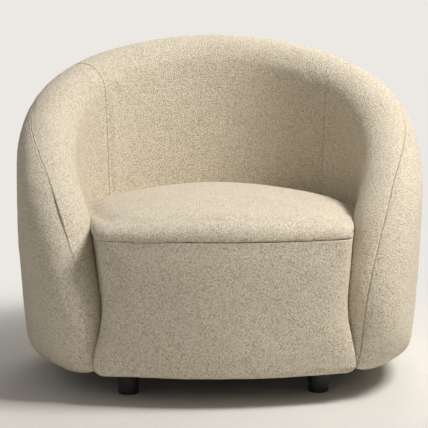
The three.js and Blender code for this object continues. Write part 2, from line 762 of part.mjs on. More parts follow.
// Pads and covers are named for the arm or back that they lie on, timber for its side
function addPadding(face, kind, solid, material) {
  const { left, back, right } = cutAtSeams(solid);
  add(`${face}_arm_${kind}_left`, left, material);
  add(`${face}_back_${kind}`, back, material);
  add(`${face}_arm_${kind}_right`, right, material);
}

function addTimber(name, solid) {
  for (const [side, piece] of Object.entries(cutAtSeams(solid))) {
    add(`${name}_${side}`, piece, materials.plywood);
  }
}

addPadding('outside', 'cover', outsideCover, materials.boucle);
addPadding('inside', 'cover', insideCover, materials.boucle);
addPadding('outside', 'wadding', outsideWad, materials.wadding);
addPadding('inside', 'foam', insidePad, materials.foam);
addTimber('top_rail', railSolid);
addTimber('base_ring', ringSolid);
addTimber('seat_rail', seatRailZone);
add('outside_liner', outsideLiner, materials.board);
add('inside_liner', insideLiner, materials.board);

for (const [name, heading] of Object.entries(postHeadings)) {
  add(`${name}_right`, post(heading), materials.plywood);
  add(`${name}_left`, post(2 * quarterTurn - heading), materials.plywood);
}
add('post_back_middle', post(quarterTurn), materials.plywood);

add('front_cross_rail', crossRail(frontFootPlaceY), materials.plywood);
add('back_cross_rail', crossRail(backFootPlaceY), materials.plywood);
add('stretcher_left', stretcher(-stretcherPlace), materials.plywood);
add('stretcher_right', stretcher(stretcherPlace), materials.plywood);
add('front_board', frontBoard(), materials.plywood);
for (let at = 0; at < longStrapCount; at += 1) {
  const x = (at - (longStrapCount - 1) / 2) * longStrapPitch;
  add(`long_strap_${at + 1}`, longStrap(x), materials.webbing);
}
add('front_cross_strap', crossStrap(frontStrapPlace), materials.webbing);
add('back_cross_strap', crossStrap(backStrapPlace), materials.webbing);
add('seat_foam', seatFoam, materials.foam);
add('seat_top_cover', seatTopCover, materials.boucle);
add('front_apron_foam', apronFoam, materials.foam);
add('front_apron_cover', apronCover, materials.boucle);
add('dust_cover', dustCover(), materials.dust);

for (const place of footPlaces) {
  const at = new THREE.Vector3(place.x, place.y, 0);
  add(`foot_${place.name}`, foot(), materials.foot, at);
  add(`foot_stud_${place.name}`, footBolt(), materials.steel, at);
  add(`tee_nut_${place.name}`, teeNut(), materials.steel, at);
}

export default chair;
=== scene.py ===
# Looks of a boucle tub chair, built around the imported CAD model. Metres, +Z up, seat opening towards -Y.
import json
import math

import bmesh
import bpy
import numpy as np
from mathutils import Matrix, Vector
from mathutils.bvhtree import BVHTree
from mathutils.kdtree import KDTree


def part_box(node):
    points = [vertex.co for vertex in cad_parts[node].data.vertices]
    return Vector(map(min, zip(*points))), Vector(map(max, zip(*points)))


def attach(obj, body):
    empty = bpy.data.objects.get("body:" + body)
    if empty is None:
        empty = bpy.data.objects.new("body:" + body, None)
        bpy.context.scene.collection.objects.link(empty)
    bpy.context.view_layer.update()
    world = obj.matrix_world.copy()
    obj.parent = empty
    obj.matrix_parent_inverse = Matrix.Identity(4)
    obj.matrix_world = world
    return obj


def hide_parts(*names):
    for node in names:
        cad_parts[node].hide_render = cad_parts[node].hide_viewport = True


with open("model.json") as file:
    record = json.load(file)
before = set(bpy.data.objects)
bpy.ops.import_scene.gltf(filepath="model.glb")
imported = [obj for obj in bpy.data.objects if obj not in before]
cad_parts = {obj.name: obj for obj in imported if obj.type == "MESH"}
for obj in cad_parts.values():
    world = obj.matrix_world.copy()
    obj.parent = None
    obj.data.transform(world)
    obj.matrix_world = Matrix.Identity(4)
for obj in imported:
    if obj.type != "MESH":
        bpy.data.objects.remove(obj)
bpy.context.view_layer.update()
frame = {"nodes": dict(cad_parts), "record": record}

MM = 0.001
QUARTER = math.pi / 2
MIRROR = np.array([-1.0, 1.0, 1.0])

# Wall: the same sizes as the solid tub
CHAIR_HEIGHT = 715 * MM
HALF_WIDTH = 367 * MM
BACK_REACH = 330 * MM
FRONT_REACH = 505 * MM
HALF_WALL = 63 * MM
WALL_BOTTOM = 46 * MM
TIP_LIFT = 20 * MM
TIP_LIFT_SPAN = math.radians(12)
ARM_LIFT = 5 * MM
ARM_LIFT_SPAN = math.radians(35)
BOTTOM_ROUND = 50 * MM
TIP_ROUND = 130 * MM
TIP_SPAN = math.radians(24)
TIP_SLIM = 0.06
WIDEST = 400 * MM
UPRIGHT_TOP = 160 * MM
TIP = math.radians(43.5)
SIDE_DRAW = 0.06
TOP_DRAW = 0.02
BACK_DRAW = 0.18
BACK_LEAN = 0.03
RIDGE_POWER = 1.84
RIDGE_STEPS = 260
UPRIGHT_STEPS = 24
LINE_STEPS = 320

# Seams of the wall, and where its cloth ends inside
ARM_SEAM_SET = 10 * MM
BACK_SEAM_SET = 44 * MM
ARM_SEAM_TOP = 400 * MM
BACK_SEAM_BOTTOM = 590 * MM
CREST_SEAM = math.radians(33)
FOOT_SEAM = math.radians(38)
SEAM_BEND = 4
SEAM_LIMIT = 0.35
TURNED_UNDER = 57 * MM
TURN_START = math.radians(-27)
TURN_SPAN = math.radians(5)
WELL_TOP = 256 * MM
WELL_START = math.radians(-22)
WELL_SPAN = math.radians(6)

# Inside of the arms, swelling low down over the seat's corners
BULGE = 6 * MM
BULGE_Z = 345 * MM
BULGE_Y = -215 * MM
BULGE_ABOVE = 60 * MM
BULGE_BELOW = 55 * MM
BULGE_LENGTH = 95 * MM

# Cloth. Lumps are (height in mm, width in mm, seed).
CELL = 4 * MM
OUTSIDE_CELL = 5 * MM
SEAM_ROWS = np.array([0, 0.8, 1.6, 2.6, 4.0, 6.0, 9.0]) * MM
SEAM_SLIT = 0.12 * MM
SEAM_STEP = 0.5 * MM
PAD_SKIN = 7 * MM
PAD_RIM = 1.2 * MM
STITCH_DEPTH, STITCH_WIDTH = 1.3 * MM, 0.9 * MM
DRAW_DEPTH, DRAW_WIDTH = 0.7 * MM, 7 * MM
LIP_HEIGHT, LIP_PLACE, LIP_WIDTH = 0.6 * MM, 2.2 * MM, 1.2 * MM
PUCKER, PUCKER_CELL, PUCKER_WIDTH = 0.35 * MM, 8 * MM, 16 * MM
RIDGE_WIDTH = 12 * MM
FIRM_MEAN, FIRM_SWING, FIRM_WIDTH = 0.05, 0.55, 60 * MM
SETTLED, SETTLE_WIDTH = 0.7, 20 * MM
PAD_LUMPS = ((0.28, 8, 1), (0.35, 17, 2))
PAD_SLACK = ((0.8, 70, 3), (0.9, 150, 4))
SEAT_LUMPS = ((0.28, 8, 11), (0.35, 17, 12), (1.0, 75, 13), (1.2, 140, 14))
APRON_LUMPS = ((0.28, 8, 21), (0.35, 17, 22), (1.1, 80, 23), (1.3, 150, 24))

# Cloth simulation
SIMULATED_FRAMES = 20
SIMULATED_CELL = 11 * MM
HELD_UNDER = 0.05
INWARD_CAP = 0.3 * MM
PRESSURE, GROWTH = 4.0, 0.002
APRON_PRESSURE, APRON_GROWTH = 3.0, 0.001
PAD_CAP = 3 * MM
SEAT_CAP = 7 * MM

# Seat
SEAM_Z = 321.5 * MM
SEAT_EDGE_Z = 362 * MM
SEAT_CROWN = 18 * MM
SEAT_MIDDLE = -67 * MM
SEAT_TUCK = (-1 * MM, -6 * MM)
SEAT_SAMPLES = 241
DIP_TURNS = np.array([-90, -76, -63, -53, -43, -32, 0, 30, 45, 60, 75, 90])
DIPS = np.array([0, 2, 7, 12, 15.5, 17, 17, 20, 17, 10, 3, 0]) * MM
HIDDEN_RINGS = ((15, 258), (13, 300), (11, 318))
SEAM_RINGS = ((5.0, 0), (3.4, 0.05), (2.2, 0.25), (1.3, 0.7), (0.7, 1.4), (0.3, 2.4), (0.1, 3.6))
EDGE_RINGS = 17
CROWN_RINGS = 62
NEAR_CROWN = -5
SIDE_ROLL, FRONT_ROLL = 17 * MM, 21 * MM
FRONT_START, FRONT_SPAN = 215 * MM, 120 * MM
EDGE_POWER = 0.92
DIP_POWER = 2.6

# Outline of seat and apron: the front's bow, the waist at the sides and where the sides meet the arms
FRONT_Y = -398 * MM
FRONT_BOW = 24 * MM
BOW_HALF = 203 * MM
WAIST_HEIGHTS = np.array([57, 88, 106, 125, 145, 165, 185, 205, 225, 245, 265, 285, 300, 328, 360]) * MM
WAIST_HALF = MM * np.array(
    [254, 253, 250, 246, 241.5, 238, 236, 235.3, 235.6, 236.8, 238.6, 241, 242.5, 244.5, 246]
)
CONTACT_HEIGHTS = np.array([57, 90, 125, 145, 165, 200, 225, 260, 300, 328]) * MM
CONTACT_Y = np.array([-344, -342, -335, -329, -322, -311, -301, -279, -240, -219]) * MM
CORNER_HEIGHTS = np.array([90, 160]) * MM
CORNER_RADII = np.array([13, 27]) * MM
CLEARANCE = 0.6 * MM
PRESS_REACH = 50 * MM
OUTLINE_STEPS = 540
FRONT_STEPS = 40
CORNER_STEPS = 30

# Apron
APRON_BOTTOM = 57 * MM
APRON_RADIUS = 19 * MM
FACE_BOTTOM = 76 * MM
APRON_SKIN = 5 * MM
APRON_TUCK = 6 * MM
APRON_FACE_TOP = SEAM_Z - 18 * MM
APRON_FACE_ROWS = 59
APRON_TURN_ROWS = 13
APRON_TAIL_ROWS = 12
APRON_HALF_COLUMNS = 96
APRON_EDGE = (
    (0.15, 5.0), (0.2, 3.4), (0.4, 2.2), (0.85, 1.3), (1.55, 0.7), (2.6, 0.35), (4.2, 0.15), (7.5, 0.05),
    (13.0, 0.0),
)
APRON_HEIGHTS = np.array([57, 110, 200, 300, 328]) * MM
APRON_REACHES = np.array([402, 400, 396, 412, 422]) * MM
APRON_TAIL = MM * np.array(
    [(0, -312), (192, -312), (201, -297), (208, -284), (220, -257), (239, -215), (240, -202)]
)

# Feet: radius and height in mm
FOOT_PROFILE = (
    (17.6, 0.0), (18.6, 0.15), (19.4, 0.6), (19.9, 1.3), (20.1, 2.2), (20.6, 12), (21.2, 24), (21.9, 38),
    (22.4, 48), (22.6, 53.6), (22.4, 54.7), (21.9, 55.4), (21.0, 55.8),
)

# Underside: the sheet, and its staples' wire as (place along, height) in mm
SHEET_CELL = 14 * MM
SHEET_SAG = 5 * MM
SHEET_SAG_SPAN = 70 * MM
SHEET_THICKNESS = 0.8 * MM
SHEET_TOP = 0.9 * MM
RIPPLE, RIPPLE_CELL = 0.9 * MM, 45 * MM
STAPLED = 16 * MM
STAPLE_PITCH = 42 * MM
STAPLE_SET = 8 * MM
STAPLE_WIRE = ((-5, 4), (-5, -0.2), (-4.6, -0.55), (4.6, -0.55), (5, -0.2), (5, 4))
WIRE_SECTION = ((-0.6, 0.0), (0.6, 0.0), (0.6, 0.55), (-0.6, 0.55))

# Camera, fitted to the photo's frame
FRAME_PIXELS = 428
FOCAL_PIXELS = 1289
SHIFT_PIXELS = -4.5
SENSOR = 36
CAMERA_DISTANCE = 2.8
CAMERA_AIM = Vector((0, 0, 0.325))
ELEVATION = math.radians(7.3)
YAW = math.radians(-2.2)


def smooth(x):
    x = np.clip(x, 0, 1)
    return x * x * (3 - 2 * x)


def rising(x, start, span):
    """0 up to start, then smoothly up to 1 over the span."""
    return smooth((x - start) / span)


def hill(x, width):
    return np.exp(-((x / width) ** 2))


def unit(ways):
    return ways / np.maximum(np.linalg.norm(ways, axis=-1, keepdims=True), 1e-12)


def run_of(points):
    """Distance from the start: of each point of a line, or of each row of a grid on average."""
    steps = np.linalg.norm(np.diff(points, axis=0), axis=-1)
    return np.append(0, np.cumsum(steps.reshape(len(steps), -1).mean(1)))


def at_runs(line, run, places):
    """Points of a line at some distances along it."""
    return np.stack([np.interp(places, run, line[:, axis]) for axis in range(line.shape[1])], -1)


def at_shares(line, shares):
    run = run_of(line)
    return at_runs(line, run, shares * run[-1])


def both_halves(half):
    """The right half of a plan line, from its middle outward, with its mirror image before it."""
    return np.concatenate([(half * MIRROR[:2])[:0:-1], half])


def smeared(values, window, wrap):
    """Moving average along the first axis, weighted by a window."""
    width = len(window) // 2
    before = values[-width:] if wrap else np.repeat(values[:1], width, 0)
    after = values[:width] if wrap else np.repeat(values[-1:], width, 0)
    padded = np.concatenate([before, values, after])
    columns = padded.reshape(len(padded), -1).T
    out = np.stack([np.convolve(column, window / window.sum(), mode="valid") for column in columns], -1)
    return out.reshape(values.shape)


def hashed(lattice, seed):
    """A repeatable value from -1 to 1 for each lattice point."""
    factors = np.array([374761393, 668265263, 2246822519], np.uint32)
    mixed = (lattice.astype(np.uint32) * factors).sum(-1, dtype=np.uint32) + np.uint32(seed * 977 + 1)
    mixed = (mixed ^ (mixed >> np.uint32(13))) * np.uint32(1274126177)
    mixed = mixed ^ (mixed >> np.uint32(16))
    return mixed.astype(float) / 2**31 - 1


def noise(points, cell, seed):
    """Smooth value noise from -1 to 1, with lumps about one cell across."""
    p = points / cell
    low = np.floor(p).astype(np.int64)
    part = smooth(p - low)
    total = 0
    for corner in np.ndindex(2, 2, 2):
        total = total + np.where(corner, part, 1 - part).prod(-1) * hashed(low + corner, seed)
    return total


def lumpy(points, lumps):
    return sum(height * MM * noise(points, width * MM, seed) for height, width, seed in lumps)


# ---- the wall's middle surface, its ridge and its thickness


def spread(z):
    """Half width and back reach of the middle surface at a height, and how fast each grows with height."""
    below = np.clip((WIDEST - z) / (WIDEST - WALL_BOTTOM), 0, None)
    above = np.clip((z - WIDEST) / (CHAIR_HEIGHT - WIDEST), 0, None)
    below_slope = -2 * below / (WIDEST - WALL_BOTTOM)
    above_slope = 2 * above / (CHAIR_HEIGHT - WIDEST)
    width = HALF_WIDTH * (1 - SIDE_DRAW * below**2 - TOP_DRAW * above**2)
    width_slope = -HALF_WIDTH * (SIDE_DRAW * below_slope + TOP_DRAW * above_slope)
    back = BACK_REACH * (1 - BACK_DRAW * below**2 + BACK_LEAN * above**2)
    back_slope = -BACK_REACH * (BACK_DRAW * below_slope - BACK_LEAN * above_slope)
    return width, width_slope, back, back_slope


def middle(heading, z):
    """Points and unit normals of the middle surface."""
    heading, z = np.broadcast_arrays(heading, z)
    width, width_slope, back, back_slope = spread(z)
    behind = np.sin(heading) > 0
    reach = np.where(behind, back, FRONT_REACH)
    point = np.stack([width * np.cos(heading), reach * np.sin(heading), z], -1)
    along = np.stack([-width * np.sin(heading), reach * np.cos(heading), 0 * z], -1)
    slope = np.where(behind, back_slope, 0) * np.sin(heading)
    rise = np.stack([width_slope * np.cos(heading), slope, np.ones_like(z)], -1)
    return point, unit(np.cross(along, rise))


def ridge_height(heading):
    from_back = np.abs(heading - QUARTER) / (QUARTER + TIP)
    rise = np.clip(1 - from_back**RIDGE_POWER, 0, None) ** (1 / RIDGE_POWER)
    return UPRIGHT_TOP + (CHAIR_HEIGHT - UPRIGHT_TOP) * rise


def from_tip(heading):
    return TIP + QUARTER - np.abs(heading - QUARTER)


def foot_height(heading):
    lift = ARM_LIFT * (1 - smooth(from_tip(heading) / ARM_LIFT_SPAN))
    tip = (TIP_LIFT - ARM_LIFT) * np.clip(1 - from_tip(heading) / TIP_LIFT_SPAN, 0, None) ** 2
    return WALL_BOTTOM + lift + tip


def tip_share(heading):
    return 1 - smooth(from_tip(heading) / TIP_SPAN)


def ridge_line():
    """Headings and heights along the right half's ridge, from the arm front's foot to the middle of the back."""
    turn = np.linspace(0, QUARTER, RIDGE_STEPS + 1)
    heading = QUARTER - (QUARTER + TIP) * np.cos(turn) ** (2 / RIDGE_POWER)
    foot = float(foot_height(np.array(-TIP)))
    low = np.linspace(foot, UPRIGHT_TOP, UPRIGHT_STEPS + 1)[:-1]
    headings = np.concatenate([np.full(UPRIGHT_STEPS, -TIP), heading])
    return headings, np.concatenate([low, ridge_height(heading)])


RIDGE_HEADINGS, RIDGE_HEIGHTS = ridge_line()
RIDGE = middle(RIDGE_HEADINGS, RIDGE_HEIGHTS)[0]
RIDGE_RUN = run_of(RIDGE)
RIDGE_BOTH = np.concatenate([RIDGE, RIDGE[::-1] * MIRROR])
CREST_RUN = float(np.interp(CREST_SEAM, RIDGE_HEADINGS[UPRIGHT_STEPS:], RIDGE_RUN[UPRIGHT_STEPS:]))


def ridge_distance(points):
    flat = points.reshape(-1, 3)
    start = RIDGE_BOTH[:-1]
    step = RIDGE_BOTH[1:] - start
    length = np.maximum((step * step).sum(1), 1e-18)
    result = np.empty(len(flat))
    block = 3000
    for at in range(0, len(flat), block):
        offset = flat[at:at + block, None] - start[None]
        share = np.clip((offset * step).sum(-1) / length, 0, 1)
        gap = offset - share[..., None] * step
        result[at:at + block] = np.sqrt((gap * gap).sum(-1).min(1))
    return result.reshape(points.shape[:-1])


def half_depth(heading, z, distance):
    """How far the wall's faces lie from its middle surface, at a distance from the ridge."""
    nose = np.sqrt(np.clip(HALF_WALL**2 - (HALF_WALL - np.minimum(distance, HALF_WALL)) ** 2, 0, None))
    tip = tip_share(heading)
    rounding = TIP_ROUND * tip + BOTTOM_ROUND * (1 - tip)
    rise = np.clip((z - foot_height(heading)) / rounding, 0, 1)
    return nose * (1 - TIP_SLIM * tip) * np.sqrt(1 - (1 - rise) ** 2)


def seam_set(z):
    return ARM_SEAM_SET + (BACK_SEAM_SET - ARM_SEAM_SET) * rising(z, ARM_SEAM_TOP, BACK_SEAM_BOTTOM - ARM_SEAM_TOP)


# ---- lines that run across the wall, from its inside foot over the ridge to its outside foot


def spaced(length, cell):
    """Distances from 0 to length: close together at a seam, then about a cell apart, in a multiple of 4 steps."""
    near, last = SEAM_ROWS[:-1], SEAM_ROWS[-1]
    free = length - last
    steps = max(4, int(round(free / cell)))
    while (steps + len(near)) % 4:
        steps += 1
    return np.concatenate([near, last + free * np.linspace(0, 1, steps + 1)])


def wall_lines(runs, part):
    """Dense lines across the wall, one for each run along the ridge, and where the ridge seam crosses each."""
    heading = np.interp(runs, RIDGE_RUN, RIDGE_HEADINGS)
    height = np.interp(runs, RIDGE_RUN, RIDGE_HEIGHTS)
    if part == "arm":
        share = runs / CREST_RUN
        progress = (heading + TIP) / (CREST_SEAM + TIP)
        even = smooth(share)
        foot = -TIP + (FOOT_SEAM + TIP) * ((1 - even) * share + even * progress)
        closeness = rising(share, 0.45, 0.55)
    else:
        progress = (heading - CREST_SEAM) / (QUARTER - CREST_SEAM)
        foot = FOOT_SEAM + (QUARTER - FOOT_SEAM) * progress
        closeness = 1 - smooth(progress / 0.8)
    bend = 1 + (SEAM_BEND - 1) * closeness
    t = np.sin(QUARTER * np.linspace(0, 1, LINE_STEPS + 1)) ** 2
    headings = foot[:, None] + (heading - foot)[:, None] * (1 - t[None]) ** bend[:, None]
    heights = height[:, None] + (foot_height(foot) - height)[:, None] * t[None]
    point, normal = middle(headings, heights)
    distance = ridge_distance(point)
    depth = half_depth(headings, heights, distance)
    inside = point - normal * depth[..., None]
    outside = point + normal * depth[..., None]
    curve = np.concatenate([inside[:, ::-1], outside[:, 1:]], axis=1)
    run = np.array([run_of(line) for line in curve])
    beyond = distance - (HALF_WALL - np.sqrt(HALF_WALL**2 - seam_set(heights) ** 2))
    outer = run[:, LINE_STEPS:]
    crossing = [np.interp(0, np.maximum.accumulate(gap), along) for gap, along in zip(beyond, outer)]
    seam = np.minimum(crossing, outer[:, 0] + SEAM_LIMIT * (outer[:, -1] - outer[:, 0]))
    return {"curve": curve, "run": run, "heights": heights, "foot": foot, "seam": seam}


def cloth_reach(lines, at, side):
    """How far the cloth runs from the ridge seam on one side.

    Outside, it turns under the foot and ends a little way up the inside. Inside, it ends at the same height in
    the arm fronts, and under the seat further back.
    """
    foot, seam = lines["foot"][at], lines["seam"][at]
    low = foot_height(foot)
    z = low + (TURNED_UNDER - low) * rising(foot, TURN_START, TURN_SPAN)
    if side == "inside":
        z = z + (WELL_TOP - z) * rising(foot, WELL_START, WELL_SPAN)
    under = np.interp(z, lines["heights"][at][::-1], lines["run"][at, :LINE_STEPS + 1])
    return seam - under if side == "inside" else lines["run"][at, -1] - seam + under


def row_places(rows, length):
    """The rows of a panel fitted to one line's length, with the seam's rows kept where there is room."""
    near = rows[:len(SEAM_ROWS)]
    reach = near[-1]
    if length > 4 * reach:
        scale = (length - reach) / (rows[-1] - reach)
        return np.concatenate([near, reach + (rows[len(SEAM_ROWS):] - reach) * scale])
    return rows * (length / rows[-1])


def panel_points(lines, side, rows):
    """Grid of points on one side of the ridge seam: the first row lies along the seam."""
    way = -1 if side == "inside" else 1
    grid = []
    for at, seam in enumerate(lines["seam"]):
        run = lines["run"][at]
        places = seam + way * (SEAM_SLIT + row_places(rows, cloth_reach(lines, at, side) - SEAM_SLIT))
        grid.append(at_runs(lines["curve"][at], run, np.where(places > run[-1], places - run[-1], places)))
    return np.array(grid)


# ---- meshes


def grid_normals(points):
    normal = np.cross(np.gradient(points, axis=0), np.gradient(points, axis=1))
    flat = np.linalg.norm(normal, axis=-1) < 1e-12
    normal = unit(normal)
    for at in range(len(points) - 2, -1, -1):
        normal[at][flat[at]] = normal[at + 1][flat[at]]
    return normal


def ring_normals(rings):
    around = np.roll(rings, -1, 1) - np.roll(rings, 1, 1)
    return unit(np.cross(around, np.gradient(rings, axis=0)))


def numbered(grid, first=0):
    """Numbers of a grid's points."""
    return first + np.arange(grid.shape[0] * grid.shape[1]).reshape(grid.shape[:2])


def grid_quads(at):
    """Faces of a grid of point numbers."""
    return np.stack([at[:-1, :-1], at[1:, :-1], at[1:, 1:], at[:-1, 1:]], -1).reshape(-1, 4)


def facing_quads(at, grid, normals):
    """Faces of a grid of point numbers, wound to face along the normals of the grid that they stand for."""
    centre = (grid.shape[0] // 2, grid.shape[1] // 2)
    turned = (grid_normals(grid)[centre] * normals[centre]).sum() < 0
    return grid_quads(at)[:, ::-1] if turned else grid_quads(at)


def ring_quads(at):
    """Faces between rings of point numbers."""
    after = np.roll(at, -1, 1)
    return np.stack([at[:-1], after[:-1], after[1:], at[1:]], -1).reshape(-1, 4)


def placed(name, data):
    """A new object in the scene."""
    piece = bpy.data.objects.new(name, data)
    bpy.context.scene.collection.objects.link(piece)
    return piece


def new_mesh(name, points, faces):
    mesh = bpy.data.meshes.new(name)
    mesh.from_pydata(points.tolist(), [], faces)
    return mesh


def shaded(name, mesh, sharp):
    """A smooth-shaded object of a mesh, with edges sharp from an angle on."""
    mesh.shade_smooth()
    mesh.set_sharp_from_angle(angle=math.radians(sharp))
    return placed(name, mesh)


def solid(name, points, faces):
    mesh = new_mesh(name, points, faces)
    work = bmesh.new()
    work.from_mesh(mesh)
    bmesh.ops.remove_doubles(work, verts=work.verts, dist=1e-6)
    bmesh.ops.dissolve_degenerate(work, edges=work.edges, dist=1e-7)
    bmesh.ops.recalc_face_normals(work, faces=work.faces)
    work.to_mesh(mesh)
    work.free()
    return shaded(name, mesh, 55)


def strip(fine, coarse):
    """Triangles between a fine edge and a coarse one that has every fourth of its points."""
    faces = []
    for step in range(len(coarse) - 1):
        f = fine[4 * step:4 * step + 5]
        a, b = coarse[step], coarse[step + 1]
        faces += [(f[0], f[1], a), (f[1], f[2], a), (a, f[2], b), (f[2], f[3], b), (f[3], f[4], b)]
    return faces


def shell(name, front, back_of):
    """A closed pad: a fine front face, and a coarse back face that has every fourth point of back_of."""
    back = back_of[::4, ::4]
    points = np.concatenate([front.reshape(-1, 3), back.reshape(-1, 3)])
    at = numbered(front)
    under = numbered(back, at.size)
    faces = grid_quads(at).tolist() + grid_quads(under)[:, [0, 3, 2, 1]].tolist()
    for edge in (np.s_[0], np.s_[-1], np.s_[:, 0], np.s_[:, -1]):
        faces += strip(at[edge].tolist(), under[edge].tolist())
    return solid(name, points, faces)


def loft(name, rings, peak=None):
    """A closed piece of stacked rings, ending in a face or a peak."""
    points = rings.reshape(-1, 3)
    at = numbered(rings)
    faces = [*ring_quads(at).tolist(), at[0].tolist()[::-1]]
    if peak is None:
        faces.append(at[-1].tolist())
    else:
        faces += [(int(a), int(b), len(points)) for a, b in zip(at[-1], np.roll(at[-1], -1))]
        points = np.concatenate([points, [peak]])
    return solid(name, points, faces)


def nearest(points):
    """A function that gives the distance from places to the nearest of some points."""
    tree = KDTree(len(points))
    for at, point in enumerate(points):
        tree.insert(point, at)
    tree.balance()
    return lambda places: np.array([tree.find(p)[2] for p in places.reshape(-1, 3)]).reshape(places.shape[:-1])


def seams(lines):
    """A function that gives the distance to the nearest of some seam lines."""
    runs = [run_of(line) for line in lines]
    dense = [at_runs(line, run, np.arange(0, run[-1], SEAM_STEP)) for line, run in zip(lines, runs)]
    return nearest(np.concatenate(dense))


def cloth_relief(points, to_seam, to_ridge):
    """Height of the cloth over the smooth form: drawn in at seams, puckered beside them, lumpy all over.

    The ridge seam is drawn in harder on the right arm than on the left.
    """
    firmness = FIRM_MEAN + FIRM_SWING * np.tanh(points[..., 0] / FIRM_WIDTH)
    depth = 1 + firmness * hill(to_ridge, RIDGE_WIDTH)
    drawn = -depth * (STITCH_DEPTH * np.exp(-to_seam / STITCH_WIDTH) + DRAW_DEPTH * hill(to_seam, DRAW_WIDTH))
    lips = LIP_HEIGHT * hill(to_seam - LIP_PLACE, LIP_WIDTH)
    pucker = PUCKER * hill(to_seam, PUCKER_WIDTH) * noise(points, PUCKER_CELL, 5)
    settle = 1 - SETTLED * hill(to_seam, SETTLE_WIDTH)
    return drawn + lips + pucker + lumpy(points, PAD_LUMPS) + lumpy(points, PAD_SLACK) * settle


# ---- cloth simulation: a coarse sheet swells under pressure, held at its seams, and the fine mesh follows it


def swell(points, faces, held, pressure, growth, cap):
    """How far each point of a sheet moves in the simulator. The faces wind anticlockwise seen from outside."""
    mesh = new_mesh("sheet_in_simulation", points, faces)
    body = placed(mesh.name, mesh)
    body.vertex_groups.new(name="held").add(np.flatnonzero(held).tolist(), 1.0, "REPLACE")
    cloth = body.modifiers.new("cloth", "CLOTH")
    settings = cloth.settings
    settings.quality = 5
    settings.mass = 0.3
    settings.tension_stiffness = settings.compression_stiffness = 15
    settings.shear_stiffness = 5
    settings.bending_stiffness = 0.3
    settings.use_pressure = True
    settings.uniform_pressure_force = pressure
    settings.shrink_min = -growth
    settings.vertex_group_mass = "held"
    settings.effector_weights.gravity = 0
    cloth.collision_settings.use_collision = False
    cloth.point_cache.frame_start = 1
    cloth.point_cache.frame_end = SIMULATED_FRAMES
    for step in range(1, SIMULATED_FRAMES + 1):
        bpy.context.scene.frame_set(step)
    shaped = body.evaluated_get(bpy.context.evaluated_depsgraph_get()).data
    flat = np.empty(len(points) * 3)
    shaped.vertices.foreach_get("co", flat)
    moved = flat.reshape(-1, 3) - points
    bpy.data.objects.remove(body)
    bpy.data.meshes.remove(mesh)
    bpy.context.scene.frame_set(1)
    length = np.linalg.norm(moved, axis=1, keepdims=True)
    return moved * np.minimum(1, cap / np.maximum(length, 1e-9))


def picked(run, cell):
    """Indices about one cell apart, with both ends."""
    at = [0]
    for index in range(1, len(run) - 1):
        if run[index] - run[at[-1]] >= cell and run[-1] - run[index] >= 0.6 * cell:
            at.append(index)
    return np.array([*at, len(run) - 1])


def refined(coarse, at, run, wrap=False):
    """Values at some rows of a grid, carried to all its rows by the distances in run."""
    flat = coarse.reshape(len(coarse), -1)
    places = run[at]
    if wrap:
        places = np.append(places, run[-1] + run[1])
        flat = np.concatenate([flat, flat[:1]])
    out = at_runs(flat, places, run).reshape(len(run), *coarse.shape[1:])
    return smeared(smeared(out, np.ones(3), wrap), np.ones(3), wrap)


def outward_only(moved, normals, cap):
    """The outward share of a movement, with hardly any inward one."""
    return np.clip((moved * normals).sum(-1, keepdims=True), -INWARD_CAP, cap) * normals


def swollen_grid(grid, normals, free, pressure, growth, cap):
    """Outward movement of a grid of points that is held where free is 0."""
    along, across = run_of(grid), run_of(grid.swapaxes(0, 1))
    lines, rows = picked(along, SIMULATED_CELL), picked(across, SIMULATED_CELL)
    coarse = grid[np.ix_(lines, rows)]
    at = numbered(coarse)
    quads = facing_quads(at, grid, normals)
    held = free[np.ix_(lines, rows)] < HELD_UNDER
    held[0] = held[-1] = True
    held[:, 0] = held[:, -1] = True
    moved = swell(coarse.reshape(-1, 3), quads.tolist(), held.reshape(-1), pressure, growth, cap)
    moved = refined(moved.reshape(coarse.shape), lines, along)
    moved = refined(moved.swapaxes(0, 1), rows, across).swapaxes(0, 1)
    return outward_only(moved, normals, cap) * free[..., None]


def swollen_rings(rings, normals, free, pressure, growth, cap):
    """Outward movement of the rings that aren't held, closed over the middle."""
    first = int(np.argmax(free.max(1) > 0))
    reach = np.linalg.norm(rings[:, 0, :2] - [0, SEAT_MIDDLE], axis=1)
    last = int(np.argmax(reach < 0.12 * reach[0]))
    down = run_of(rings[first:last])
    rows = picked(down, SIMULATED_CELL)
    columns = np.arange(0, rings.shape[1], 4)
    coarse = rings[first + rows][:, columns]
    count = len(columns)
    at = numbered(coarse)
    quads = ring_quads(at)
    fan = [(int(a), int(b), at.size) for a, b in zip(at[-1], np.roll(at[-1], -1))]
    if (ring_normals(rings)[NEAR_CROWN, 0] * normals[NEAR_CROWN, 0]).sum() < 0:
        quads, fan = quads[:, ::-1], [f[::-1] for f in fan]
    points = np.concatenate([coarse.reshape(-1, 3), [rings[-1].mean(0)]])
    held = np.append(free[first + rows][:, columns].reshape(-1) < HELD_UNDER, False)
    held[:count] = True
    moved = swell(points, quads.tolist() + fan, held, pressure, growth, cap)
    table = np.zeros((rings.shape[0], count, 3))
    table[first:last] = refined(moved[:-1].reshape(coarse.shape), rows, down)
    fade = np.linspace(0, 1, rings.shape[0] - last + 1)[1:, None, None]
    table[last:] = table[last - 1] * (1 - fade) + moved[-1] * fade
    around = np.arange(rings.shape[1], dtype=float)
    whole = refined(table.swapaxes(0, 1), columns, around, wrap=True).swapaxes(0, 1)
    return outward_only(whole, normals, cap) * free[..., None]


# ---- the six pads of the wall

arm_lines = wall_lines((CREST_RUN - SEAM_SLIT) - spaced(CREST_RUN - SEAM_SLIT, CELL)[::-1], "arm")
back_lines = wall_lines(CREST_RUN + SEAM_SLIT + spaced(RIDGE_RUN[-1] - CREST_RUN - SEAM_SLIT, CELL), "back")


